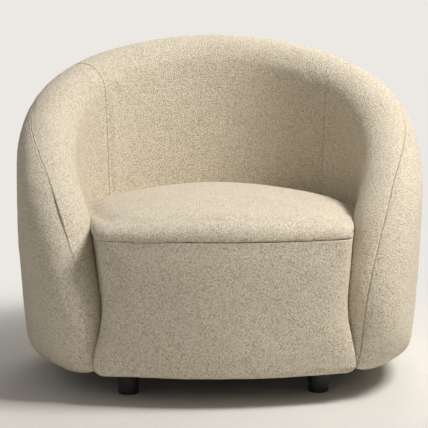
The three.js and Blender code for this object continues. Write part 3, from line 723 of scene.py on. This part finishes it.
def grids_for(side, cell):
    """Grids of one side of the wall: the right arm, and the whole back."""
    parts = (arm_lines, back_lines)
    rows = spaced(max(cloth_reach(lines, at, side) for lines in parts for at in range(len(lines["seam"]))), cell)
    arm, back = (panel_points(lines, side, rows) for lines in parts)
    return arm, np.concatenate([back, back[-2::-1] * MIRROR])


inside_arm, inside_back = grids_for("inside", CELL)
outside_arm, outside_back = grids_for("outside", OUTSIDE_CELL)

ridge_seam = np.concatenate([outside_arm[:, 0], outside_back[:, 0]])
side_seam = np.concatenate([inside_arm[-1][::-1], outside_arm[-1]])
to_ridge_seams = seams([ridge_seam, outside_arm[:, 0] * MIRROR])
to_wall_seams = seams([ridge_seam, outside_arm[:, 0] * MIRROR, side_seam, side_seam * MIRROR])


def outward(points, normals, inside):
    """The normals, turned to face away from the wall's middle surface."""
    centre = (points.shape[0] // 2, points.shape[1] // 2)
    to_axis = points[centre] * [-1, -1, 0]
    facing = (normals[centre] * to_axis).sum() > 0
    return normals if facing == inside else -normals


def arm_bulge(points):
    """Swelling of the inside arm low down, where it leans over the seat's corner."""
    rise = points[..., 2] - BULGE_Z
    tall = np.where(rise > 0, BULGE_ABOVE, BULGE_BELOW)
    return BULGE * hill(rise, tall) * hill(points[..., 1] - BULGE_Y, BULGE_LENGTH)


fronts = []


def soft(piece, fill, *nodes):
    """Attaches a boucle pad to the root body and hides the solid nodes that it stands for."""
    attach(piece, "root")
    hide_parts(*nodes)
    return piece


def make_pad(name, points, inside, nodes):
    """One padded cover. The back's swell in the simulator, and the arms' keep their modelled form."""
    normals = outward(points, grid_normals(points), inside)
    to_seam = to_wall_seams(points)
    relief = cloth_relief(points, to_seam, to_ridge_seams(points))
    if inside and "arm" in name:
        relief = relief + arm_bulge(points)
    front = points + normals * relief[..., None]
    if "back" in name:
        free = rising(to_seam, 3 * MM, 20 * MM) * rising(points[..., 2], 60 * MM, 30 * MM)
        front = front + swollen_grid(points, normals, free, PRESSURE, GROWTH, PAD_CAP)
    depth = PAD_RIM + (PAD_SKIN - PAD_RIM) * rising(points[..., 2], WALL_BOTTOM, 60 * MM)
    if inside:
        fronts.append((front, normals))
    return soft(shell(name, front, points - normals * depth[..., None]), 0.85, *nodes)


pads = []
for side, flip in (("right", np.ones(3)), ("left", MIRROR)):
    nodes = [f"inside_arm_cover_{side}", f"inside_arm_foam_{side}"]
    pads.append(make_pad(f"inside_arm_{side}", inside_arm * flip, True, nodes))
    nodes = [f"outside_arm_cover_{side}", f"outside_arm_wadding_{side}"]
    pads.append(make_pad(f"outside_arm_{side}", outside_arm * flip, False, nodes))
pads.append(make_pad("inside_back", inside_back, True, ["inside_back_cover", "inside_back_foam"]))
pads.append(make_pad("outside_back", outside_back, False, ["outside_back_cover", "outside_back_wadding"]))

# ---- seat and apron, pressed against the wall

tree_points, tree_faces = [], []
for front, normals in fronts:
    tree_faces += facing_quads(numbered(front, len(tree_points)), front, normals).tolist()
    tree_points += front.reshape(-1, 3).tolist()
wall_tree = BVHTree.FromPolygons(tree_points, tree_faces)


def press(points):
    """Moves points that lie in or too near the wall's inner face out to a clearance from it."""
    flat = points.reshape(-1, 3).copy()
    for at, point in enumerate(flat.tolist()):
        place, normal, _, _ = wall_tree.find_nearest(point, PRESS_REACH)
        if place is not None and (Vector(point) - place).dot(normal) < CLEARANCE:
            flat[at] = place + normal * CLEARANCE
    return flat.reshape(points.shape)


def inner_wall(heading, z, inset):
    """Plan points of the wall's inner face at a height, moved inward by the inset."""
    point, normal = middle(heading, z)
    depth = half_depth(heading, z, ridge_distance(point))
    return (point - normal * (depth + inset)[..., None])[:, :2]


def bezier(points, steps):
    """Points of a Bezier curve, without its ends."""
    t = np.linspace(0, 1, steps)[1:-1, None]
    while len(points) > 1:
        points = [a + (b - a) * t for a, b in zip(points, points[1:])]
    return points[0]


def half_outline(z, inset, tuck):
    """Right half of the seat's outline at a height, from the middle of the front to the middle of the back.

    It follows the bowed front, a corner, the flank to where the arm is met, and the wall from there on.
    """
    headings = np.radians(np.linspace(-43.4, 90, OUTLINE_STEPS))
    wall = inner_wall(headings, np.full(headings.size, z), inset)
    first = int(np.argmax(wall[:, 1] > np.interp(z, CONTACT_HEIGHTS, CONTACT_Y)))
    end = wall[first]
    end_way = unit(wall[first + 3] - end)
    reach = np.interp(z, WAIST_HEIGHTS, WAIST_HALF) - tuck - inset
    radius = np.interp(z, CORNER_HEIGHTS, CORNER_RADII)
    corner_x = reach - 1.15 * radius
    front_x = np.linspace(0, corner_x, FRONT_STEPS)
    front = np.stack([front_x, FRONT_Y + inset + FRONT_BOW * (front_x / BOW_HALF) ** 2], -1)
    slope = 2 * FRONT_BOW * corner_x / BOW_HALF**2
    sharp = np.array([reach + 0.5 * MM, front[-1, 1] + slope * (reach - corner_x)])
    side = np.array([reach, min(front[-1, 1] + 1.35 * radius, end[1] - 4 * MM)])
    corner = bezier([front[-1], sharp, side], CORNER_STEPS)
    pull = np.linalg.norm(end - side) / 3
    flank = bezier([side, side + [0, pull], end - end_way * pull, end], CORNER_STEPS)
    return np.concatenate([front, corner, [side], flank, wall[first:]])


def side_dip(plan):
    """How far the seat's edge lies under its height in the middle of the front, round the outline."""
    turn = np.degrees(np.arctan2(plan[:, 1] - SEAT_MIDDLE, np.abs(plan[:, 0])))
    return smeared(np.interp(turn, DIP_TURNS, DIPS), np.hanning(17), True)


def seat_rings():
    """Rings of the seat, from its hidden bottom over the rolled edge to the crown, all with the same samples."""
    shares = np.linspace(0, 1, SEAT_SAMPLES)
    right, left = (at_shares(half_outline(SEAM_Z, 0, tuck), shares) for tuck in SEAT_TUCK)
    outline = np.concatenate([right, (left * MIRROR[:2])[-2:0:-1]])
    centre = np.array([0, SEAT_MIDDLE])
    ahead = np.roll(outline, -1, 0) - np.roll(outline, 1, 0)
    normal = unit(np.stack([ahead[:, 1], -ahead[:, 0]], -1))
    if (normal * (outline - centre)).sum() < 0:
        normal = -normal
    soft_normal = smeared(smeared(normal, np.ones(19), True), np.ones(13), True)
    roll = SIDE_ROLL + FRONT_ROLL * rising(-outline[:, 1], FRONT_START, FRONT_SPAN)
    inner = smeared(outline - soft_normal * roll[:, None], np.ones(9), True)
    dip = side_dip(outline)
    edge = SEAT_EDGE_Z - dip
    rings = []

    def ring(plan, z):
        rings.append(np.column_stack([plan, np.broadcast_to(z, len(plan))]))

    for inset, z in HIDDEN_RINGS:
        ring(outline - normal * inset * MM, z * MM)
    seam_z = SEAM_Z + 0.15 * MM
    for inset, rise in SEAM_RINGS:
        ring(outline - normal * inset * MM, seam_z + rise * MM)
    foot_z = seam_z + 5 * MM
    for turn in np.linspace(0, QUARTER, EDGE_RINGS):
        z = foot_z + (edge - foot_z) * np.sin(turn) ** EDGE_POWER
        ring(outline + (inner - outline) * (1 - np.cos(turn)), z)
    for step in range(1, CROWN_RINGS):
        share = 1 - step / CROWN_RINGS
        z = SEAT_EDGE_Z + SEAT_CROWN * (1 - share**2) - dip * share**DIP_POWER
        ring(centre + (inner - centre) * share, z)
    return np.array(rings)


front_half = at_shares(half_outline(SEAM_Z, 0, 0), np.linspace(0, 0.5, 200))
front_seam = both_halves(front_half)
to_seat_seam = seams([np.column_stack([front_seam, np.full(len(front_seam), SEAM_Z)])])

rings = seat_rings()
normals = ring_normals(rings)
normals = normals if normals[NEAR_CROWN, 0, 2] > 0 else -normals
to_seam = to_seat_seam(rings)
relief = lumpy(rings, SEAT_LUMPS) + PUCKER * hill(to_seam, 14 * MM) * noise(rings, PUCKER_CELL, 15)
relief *= rings[..., 2] > SEAM_Z
free = rising(rings[..., 2], SEAM_Z + 4 * MM, 14 * MM)
grown = swollen_rings(rings, normals, free, PRESSURE, GROWTH, SEAT_CAP)
rings = press(rings + normals * relief[..., None] + grown)
seat = soft(loft("seat_cushion", rings, rings[-1].mean(0)), 0.8, "seat_top_cover", "seat_foam")


def moved_inward(half, width):
    """Both halves of an outline moved inward along smoothed normals, so that a tight corner doesn't fold over."""
    line = both_halves(half)
    way = unit(smeared(np.gradient(line, axis=0), np.hanning(23), False))
    return line + np.column_stack([-way[:, 1], way[:, 0]]) * width


def apron_grid():
    """The apron's face, from the seat's seam down and under, across the front and round both corners."""
    levels = [(SEAM_Z - drop * MM, inset * MM, 0) for drop, inset in APRON_EDGE]
    levels += [(z, 0, 0) for z in np.linspace(APRON_FACE_TOP, APRON_BOTTOM + APRON_RADIUS, APRON_FACE_ROWS)]
    for turn in np.linspace(0, QUARTER, APRON_TURN_ROWS)[1:]:
        levels.append((APRON_BOTTOM + APRON_RADIUS * (1 - np.sin(turn)), 0, APRON_RADIUS * (1 - np.cos(turn))))
    grid = []
    for z, inset, turned in levels:
        corner_drop = np.clip((FACE_BOTTOM - z) / APRON_RADIUS, 0, 1)
        half = half_outline(z, inset, APRON_TUCK * (1 - np.sqrt(1 - corner_drop**2)))
        places = np.linspace(0, np.interp(z, APRON_HEIGHTS, APRON_REACHES), APRON_HALF_COLUMNS + 1)
        plan = moved_inward(at_runs(half, run_of(half), places), turned)
        grid.append(np.column_stack([plan, np.full(len(plan), z)]))
    last = grid[-1]
    run = run_of(last[APRON_HALF_COLUMNS:, :2])
    tail = both_halves(at_shares(APRON_TAIL, run / run[-1]))
    target = np.column_stack([tail, last[:, 2]])
    steps = APRON_TAIL_ROWS
    while (len(levels) + steps - 1) % 4:
        steps += 1
    return np.array(grid + [last + (target - last) * step / steps for step in range(1, steps + 1)])


apron = apron_grid()
normals = grid_normals(apron)
normals = -normals if normals[30, APRON_HALF_COLUMNS, 1] > 0 else normals
to_seam = to_seat_seam(apron)
relief = lumpy(apron, APRON_LUMPS) * (1 - 0.6 * hill(to_seam, 25 * MM))
free = rising(to_seam, 5 * MM, 25 * MM) * rising(apron[..., 2], 62 * MM, 25 * MM)
free = free * rising(-apron[..., 1], 345 * MM, 25 * MM)
upright = int((apron[:, 0, 2] > FACE_BOTTOM).sum())
grown = np.zeros_like(apron)
grown[:upright] = swollen_grid(
    apron[:upright], normals[:upright], free[:upright], APRON_PRESSURE, APRON_GROWTH, PAD_CAP
)
face = apron + normals * relief[..., None] + grown
face = face + (press(face) - face) * rising(apron[..., 2:], 62 * MM, 14 * MM)
apron_piece = shell("front_apron", face, face - normals * APRON_SKIN)
soft(apron_piece, 0.8, "front_apron_cover", "front_apron_foam")


# ---- feet


def lathe(name, profile, x, y, sides=72):
    turn = np.linspace(0, 2 * math.pi, sides, endpoint=False)
    rings = [np.column_stack([x + r * np.cos(turn), y + r * np.sin(turn), np.full(sides, z)]) for r, z in profile]
    return loft(name, np.array(rings))


feet = []
for name in ("front_left", "front_right", "back_left", "back_right"):
    low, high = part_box(f"foot_{name}")
    profile = [(radius * MM, z * MM) for radius, z in FOOT_PROFILE]
    piece = lathe(f"turned_foot_{name}", profile, (low.x + high.x) / 2, (low.y + high.y) / 2)
    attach(piece, "root")
    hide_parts(f"foot_{name}")
    feet.append(piece)


# ---- underside: a black sheet stapled to the base ring


def cut_in_squares(work, low, high, cell):
    for axis in (0, 1):
        for place in np.arange(low[axis] + cell / 2, high[axis], cell):
            at, way = [0, 0, 0], [0, 0, 0]
            at[axis], way[axis] = place, 1
            geometry = work.verts[:] + work.edges[:] + work.faces[:]
            bmesh.ops.bisect_plane(work, geom=geometry, dist=1e-6, plane_co=at, plane_no=way)


def border_loops(work):
    """Closed loops of border points, the longest first."""
    links = {}
    for edge in work.edges:
        if edge.is_boundary:
            for a, b in (edge.verts, reversed(edge.verts)):
                links.setdefault(a.index, []).append(b.index)
    loops = []
    while links:
        loop, at = [], min(links)
        while at in links:
            loop.append(at)
            at = next((v for v in links.pop(at) if v in links), None)
        loops.append(loop)
    return sorted(loops, key=len, reverse=True)


def underside_sheet():
    """The dust cover's lower face as one thin sheet that sags between its staples, with its rim and height."""
    low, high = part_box("dust_cover")
    work = bmesh.new()
    work.from_mesh(frame["nodes"]["dust_cover"].data)
    work.normal_update()
    bmesh.ops.delete(work, geom=[f for f in work.faces if f.normal.z > -0.7], context="FACES")
    bmesh.ops.remove_doubles(work, verts=work.verts, dist=5e-5)
    bmesh.ops.dissolve_limit(work, angle_limit=0.01, verts=work.verts, edges=work.edges)
    cut_in_squares(work, low, high, SHEET_CELL)
    work.verts.ensure_lookup_table()
    work.verts.index_update()
    area = sum(f.calc_area() for f in work.faces)
    loops = border_loops(work)
    rim = np.array([work.verts[i].co for i in loops[0]])
    border = []
    for loop in loops:
        line = np.array([work.verts[i].co for i in loop + loop[:1]])
        for a, b in zip(line[:-1], line[1:]):
            count = max(1, int(np.linalg.norm(b - a) / (3 * MM)))
            border += [a + (b - a) * t / count for t in range(count)]
    points = np.array([v.co for v in work.verts])
    inward = nearest(border)(points)
    ripple = RIPPLE * rising(inward, STAPLED, 20 * MM) * noise(points * [1, 1.6, 1], RIPPLE_CELL, 31)
    sag = SHEET_SAG * rising(inward, STAPLED, SHEET_SAG_SPAN) + ripple
    for vert, down in zip(work.verts, sag):
        vert.co.z = low.z + SHEET_TOP - down
    bmesh.ops.solidify(work, geom=work.faces[:], thickness=SHEET_THICKNESS)
    bmesh.ops.recalc_face_normals(work, faces=work.faces)
    mesh = bpy.data.meshes.new("underside_sheet")
    work.to_mesh(mesh)
    work.free()
    piece = shaded("underside_sheet", mesh, 50)
    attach(piece, "root")
    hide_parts("dust_cover")
    return piece, rim, low.z


def staple_row(rim, z):
    """Wire staples along the rim, a little inside it."""
    line = np.concatenate([rim, rim[:1]])
    run = run_of(line)
    count = int(run[-1] / STAPLE_PITCH)
    centre = rim[:, :2].mean(0)
    points, faces = [], []
    for at in range(count):
        place = (at + 0.5) / count * run[-1]
        here, ahead, behind = (at_runs(line[:, :2], run, (place + d) % run[-1]) for d in (0, 6 * MM, -6 * MM))
        way = unit(ahead - behind)
        side = np.array([-way[1], way[0]])
        if (side * (centre - here)).sum() < 0:
            side = -side
        first = len(points)
        for along, height in STAPLE_WIRE:
            for across, thick in WIRE_SECTION:
                lift = height + (thick if height < 0 else 0)
                spot = here + side * STAPLE_SET + way * along * (1 - thick / 6) * MM + side * across * MM
                points.append([*spot, z + lift * MM])
        corners = len(WIRE_SECTION)
        for a in range(first, len(points) - corners, corners):
            b = a + corners
            faces += [(a + i, a + (i + 1) % corners, b + (i + 1) % corners, b + i) for i in range(corners)]
        faces += [range(first + corners - 1, first - 1, -1), range(len(points) - corners, len(points))]
    piece = solid("underside_staples", np.array(points), faces)
    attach(piece, "root")
    return piece


sheet, rim, sheet_z = underside_sheet()
staples = staple_row(rim, sheet_z)


# ---- materials


class Nodes:
    """A short way to write a node tree."""

    def __init__(self, tree):
        self.tree = tree
        tree.nodes.clear()

    def add(self, kind, inputs=None, **settings):
        node = self.tree.nodes.new(kind)
        for key, value in settings.items():
            setattr(node, key, value)
        for key, value in (inputs or {}).items():
            self.put(node.inputs[key], value)
        return node

    def put(self, socket, value):
        if isinstance(value, bpy.types.NodeSocket):
            self.tree.links.new(value, socket)
        else:
            socket.default_value = value

    def math(self, operation, a, b=0.0, clamp=False):
        return self.add("ShaderNodeMath", {0: a, 1: b}, operation=operation, use_clamp=clamp).outputs[0]

    def seen(self):
        """1 for rays from the camera or off a gloss, so that the backdrop's colour shows only to them."""
        rays = self.add("ShaderNodeLightPath").outputs
        return self.math("MAXIMUM", rays["Is Camera Ray"], rays["Is Glossy Ray"])


class Finish(Nodes):
    """A material with one Principled shader, placed by object coordinates."""

    def __init__(self, name):
        self.material = bpy.data.materials.new(name)
        self.material.use_nodes = True
        super().__init__(self.material.node_tree)
        self.shader = self.add("ShaderNodeBsdfPrincipled")
        self.output = self.add("ShaderNodeOutputMaterial", {"Surface": self.shader.outputs["BSDF"]})
        self.place = self.add("ShaderNodeTexCoord").outputs["Object"]

    def noise(self, scale, detail=2.0, roughness=0.5, vector=None, distortion=0.0):
        values = {"Vector": vector or self.place, "Scale": scale, "Detail": detail, "Roughness": roughness}
        return self.add("ShaderNodeTexNoise", values | {"Distortion": distortion})

    def ramp(self, value, stops):
        node = self.add("ShaderNodeValToRGB", {"Fac": value})
        ramp = node.color_ramp
        while len(ramp.elements) < len(stops):
            ramp.elements.new(0.5)
        for element, (place, colour) in zip(ramp.elements, stops):
            element.position = place
            element.color = (*colour, 1)
        return node.outputs["Color"]

    def multiplied(self, a, b):
        return self.add("ShaderNodeMix", {0: 1.0, 6: a, 7: b}, data_type="RGBA", blend_type="MULTIPLY").outputs[2]

    def bump(self, height, distance, strength):
        inputs = {"Height": height, "Distance": distance, "Strength": strength}
        return self.add("ShaderNodeBump", inputs).outputs["Normal"]

    def set(self, **values):
        for key, value in values.items():
            self.put(self.shader.inputs[key.replace("_", " ")], value)


def srgb(r, g, b):
    def one(v):
        v /= 255
        return v / 12.92 if v <= 0.04045 else ((v + 0.055) / 1.055) ** 2.4

    return one(r), one(g), one(b)


def boucle(name):
    """Looped yarn: nubs about 2.5 mm across, made of finer curls, lit mostly by their own relief, with painted
    shade darkening the pits between the nubs.
    """
    n = Finish(name)
    wander = n.noise(420.0).outputs["Color"]
    moved = n.add("ShaderNodeVectorMath", {0: wander, 1: (0.5, 0.5, 0.5)}, operation="SUBTRACT").outputs[0]
    scaled = n.add("ShaderNodeVectorMath", {0: moved, "Scale": 0.0022}, operation="SCALE").outputs[0]
    warped = n.add("ShaderNodeVectorMath", {0: n.place, 1: scaled}, operation="ADD").outputs[0]
    loops = n.add("ShaderNodeTexVoronoi", {"Vector": warped, "Scale": 400.0})
    curls = n.add("ShaderNodeTexVoronoi", {"Vector": warped, "Scale": 900.0})
    clumps = n.noise(260.0, roughness=0.6).outputs["Fac"]
    height = n.math("SUBTRACT", 0.95, n.math("MULTIPLY", loops.outputs["Distance"], 0.7))
    height = n.math("SUBTRACT", height, n.math("MULTIPLY", curls.outputs["Distance"], 0.25))
    height = n.math("ADD", height, n.math("MULTIPLY", n.math("SUBTRACT", clumps, 0.5), 0.22), clamp=True)
    # painted shade: the yarn's colour darkens with the relief's height, deepest in the pits between the loops
    # where shade falls, palest on the nub tops
    painted_pit_shade = n.ramp(height, [
        (0.2, srgb(188, 174, 148)),
        (0.45, srgb(222, 211, 190)),
        (0.65, srgb(233, 225, 208)),
        (0.9, srgb(247, 242, 231)),
    ])
    own = n.ramp(loops.outputs["Color"], [
        (0.12, (0.76, 0.745, 0.715)),
        (0.36, (0.96, 0.96, 0.95)),
        (0.9, (1.08, 1.08, 1.08)),
    ])
    patches = n.noise(9.0, detail=3.0, roughness=0.6).outputs["Fac"]
    shade = n.ramp(patches, [(0.3, (0.96, 0.955, 0.94)), (0.7, (1.0, 1.0, 1.0))])
    n.set(
        Base_Color=n.multiplied(n.multiplied(painted_pit_shade, own), shade),
        Roughness=0.9,
        Normal=n.bump(height, 0.0026, 1.0),
        Sheen_Weight=0.2,
        Sheen_Roughness=0.45,
        Sheen_Tint=(1.0, 0.97, 0.9, 1),
        Specular_IOR_Level=0.3,
    )
    return n.material


def painted_wood(name):
    n = Finish(name)
    grain = n.noise(60.0, detail=4.0, roughness=0.6).outputs["Fac"]
    stretched = n.add("ShaderNodeMapping", {"Vector": n.place, "Scale": (40.0, 40.0, 6.0)}).outputs[0]
    streaks = n.noise(9.0, detail=4.0, vector=stretched).outputs["Fac"]
    rough = n.add("ShaderNodeMapRange", {"Value": streaks, "To Min": 0.32, "To Max": 0.5}).outputs[0]
    colour = n.ramp(grain, [(0.3, srgb(15, 14, 14)), (0.7, srgb(27, 25, 24))])
    n.set(Base_Color=colour, Roughness=rough, Normal=n.bump(streaks, 0.0003, 0.5))
    return n.material


def plain(name, dark, light, scale, roughness, bump=0.0003, stretch=(1.0, 1.0, 1.0), metallic=0.0):
    n = Finish(name)
    place = n.add("ShaderNodeMapping", {"Vector": n.place, "Scale": stretch}).outputs[0]
    grain = n.noise(scale, detail=5.0, roughness=0.6, vector=place, distortion=0.6).outputs["Fac"]
    colour = n.ramp(grain, [(0.28, srgb(*dark)), (0.72, srgb(*light))])
    n.set(Base_Color=colour, Roughness=roughness, Metallic=metallic, Normal=n.bump(grain, bump, 0.6))
    return n.material


finishes = {
    "boucle": boucle("cream_boucle"),
    "foot_black": painted_wood("black_stained_wood"),
    "timber": plain("pine_plywood", (176, 138, 92), (214, 182, 134), 22.0, 0.7, stretch=(1.0, 1.0, 9.0)),
    "lining_board": plain("grey_board", (128, 104, 76), (160, 134, 102), 90.0, 0.9),
    "webbing": plain("elastic_webbing", (30, 30, 33), (62, 60, 58), 420.0, 0.85, bump=0.0005),
    "underlining": plain("black_underlining", (17, 17, 18), (36, 36, 37), 700.0, 0.95),
    "steel": plain("zinc_steel", (150, 152, 156), (196, 198, 200), 300.0, 0.36, bump=0.0001, metallic=1.0),
    "foam": plain("pale_foam", (214, 202, 150), (240, 230, 188), 500.0, 0.95, bump=0.0006),
    "wadding": plain("white_wadding", (216, 214, 208), (244, 243, 240), 200.0, 1.0, bump=0.001),
}
dressed = {"boucle": [*pads, seat, apron_piece], "foot_black": feet, "underlining": [sheet], "steel": [staples]}
for slot, pieces in dressed.items():
    for piece in pieces:
        piece.data.materials.append(finishes[slot])
slots = {part["node"]: part["material_slot"] for part in frame["record"]["subparts"]}
for name, node in frame["nodes"].items():
    if not node.hide_render:
        node.data.materials.clear()
        node.data.materials.append(finishes[slots[name]])

# ---- floor, light and camera

PALE = (*srgb(236, 233, 228), 1)
FLOOR_CORNERS = 20 * np.array([(-1, -1, 0), (1, -1, 0), (1, 1, 0), (-1, 1, 0)])
floor = placed("floor", new_mesh("floor", FLOOR_CORNERS, [(0, 1, 2, 3)]))
ground = Finish("pale_floor")
grain = ground.noise(3.0).outputs["Fac"]
ground.set(Base_Color=ground.ramp(grain, [(0.3, srgb(203, 200, 195)), (0.7, srgb(209, 206, 201))]), Roughness=0.85)
far = ground.add("ShaderNodeVectorMath", {0: ground.place}, operation="LENGTH").outputs["Value"]
span = {"Value": far, "From Min": 0.45, "From Max": 1.25}
away = ground.add("ShaderNodeMapRange", span, interpolation_type="SMOOTHERSTEP").outputs[0]
glow = ground.add("ShaderNodeEmission", {"Color": PALE, "Strength": 1.0}).outputs[0]
shares = {0: ground.math("MULTIPLY", ground.seen(), away), 1: ground.shader.outputs["BSDF"], 2: glow}
ground.put(ground.output.inputs["Surface"], ground.add("ShaderNodeMixShader", shares).outputs[0])
floor.data.materials.append(ground.material)

scene = bpy.context.scene
scene.world = bpy.data.worlds.new("studio")
scene.world.use_nodes = True
sky = Nodes(scene.world.node_tree)
ambient = sky.add("ShaderNodeBackground", {"Color": (1.0, 0.985, 0.96, 1), "Strength": 0.25}).outputs[0]
backdrop = sky.add("ShaderNodeBackground", {"Color": PALE, "Strength": 1.0}).outputs[0]
choose = sky.add("ShaderNodeMixShader", {0: sky.seen(), 1: ambient, 2: backdrop}).outputs[0]
sky.add("ShaderNodeOutputWorld", {"Surface": choose})


def aimed(piece, place, way):
    """Puts a lamp or the camera in its place, looking along a direction."""
    piece.location = place
    piece.rotation_euler = way.to_track_quat("-Z", "Y").to_euler()


def lamp(name, place, aim, size, power, colour):
    data = bpy.data.lights.new(name, "AREA")
    data.shape = "SQUARE"
    data.size = size
    data.energy = power
    data.color = colour
    aimed(placed(name, data), place, Vector(aim) - Vector(place))


lamp("key", (1.9, -0.7, 3.1), (0, 0, 0.35), 1.2, 145, (1.0, 0.975, 0.945))
lamp("fill", (-2.4, -2.8, 2.0), (0, 0, 0.3), 2.2, 8, (1.0, 0.98, 0.95))
lamp("back", (0.5, 3.0, 1.9), (0, 0, 0.4), 2.0, 34, (1.0, 0.98, 0.95))

camera_data = bpy.data.cameras.new("camera")
camera_data.sensor_width = SENSOR
camera_data.lens = SENSOR * FOCAL_PIXELS / FRAME_PIXELS
camera_data.shift_x = SHIFT_PIXELS / FRAME_PIXELS
scene.camera = placed("camera", camera_data)
level = math.cos(ELEVATION)
toward = Vector((math.sin(YAW) * level, -math.cos(YAW) * level, math.sin(ELEVATION)))
aimed(scene.camera, CAMERA_AIM + toward * CAMERA_DISTANCE, -toward)
scene.view_settings.view_transform = "Standard"
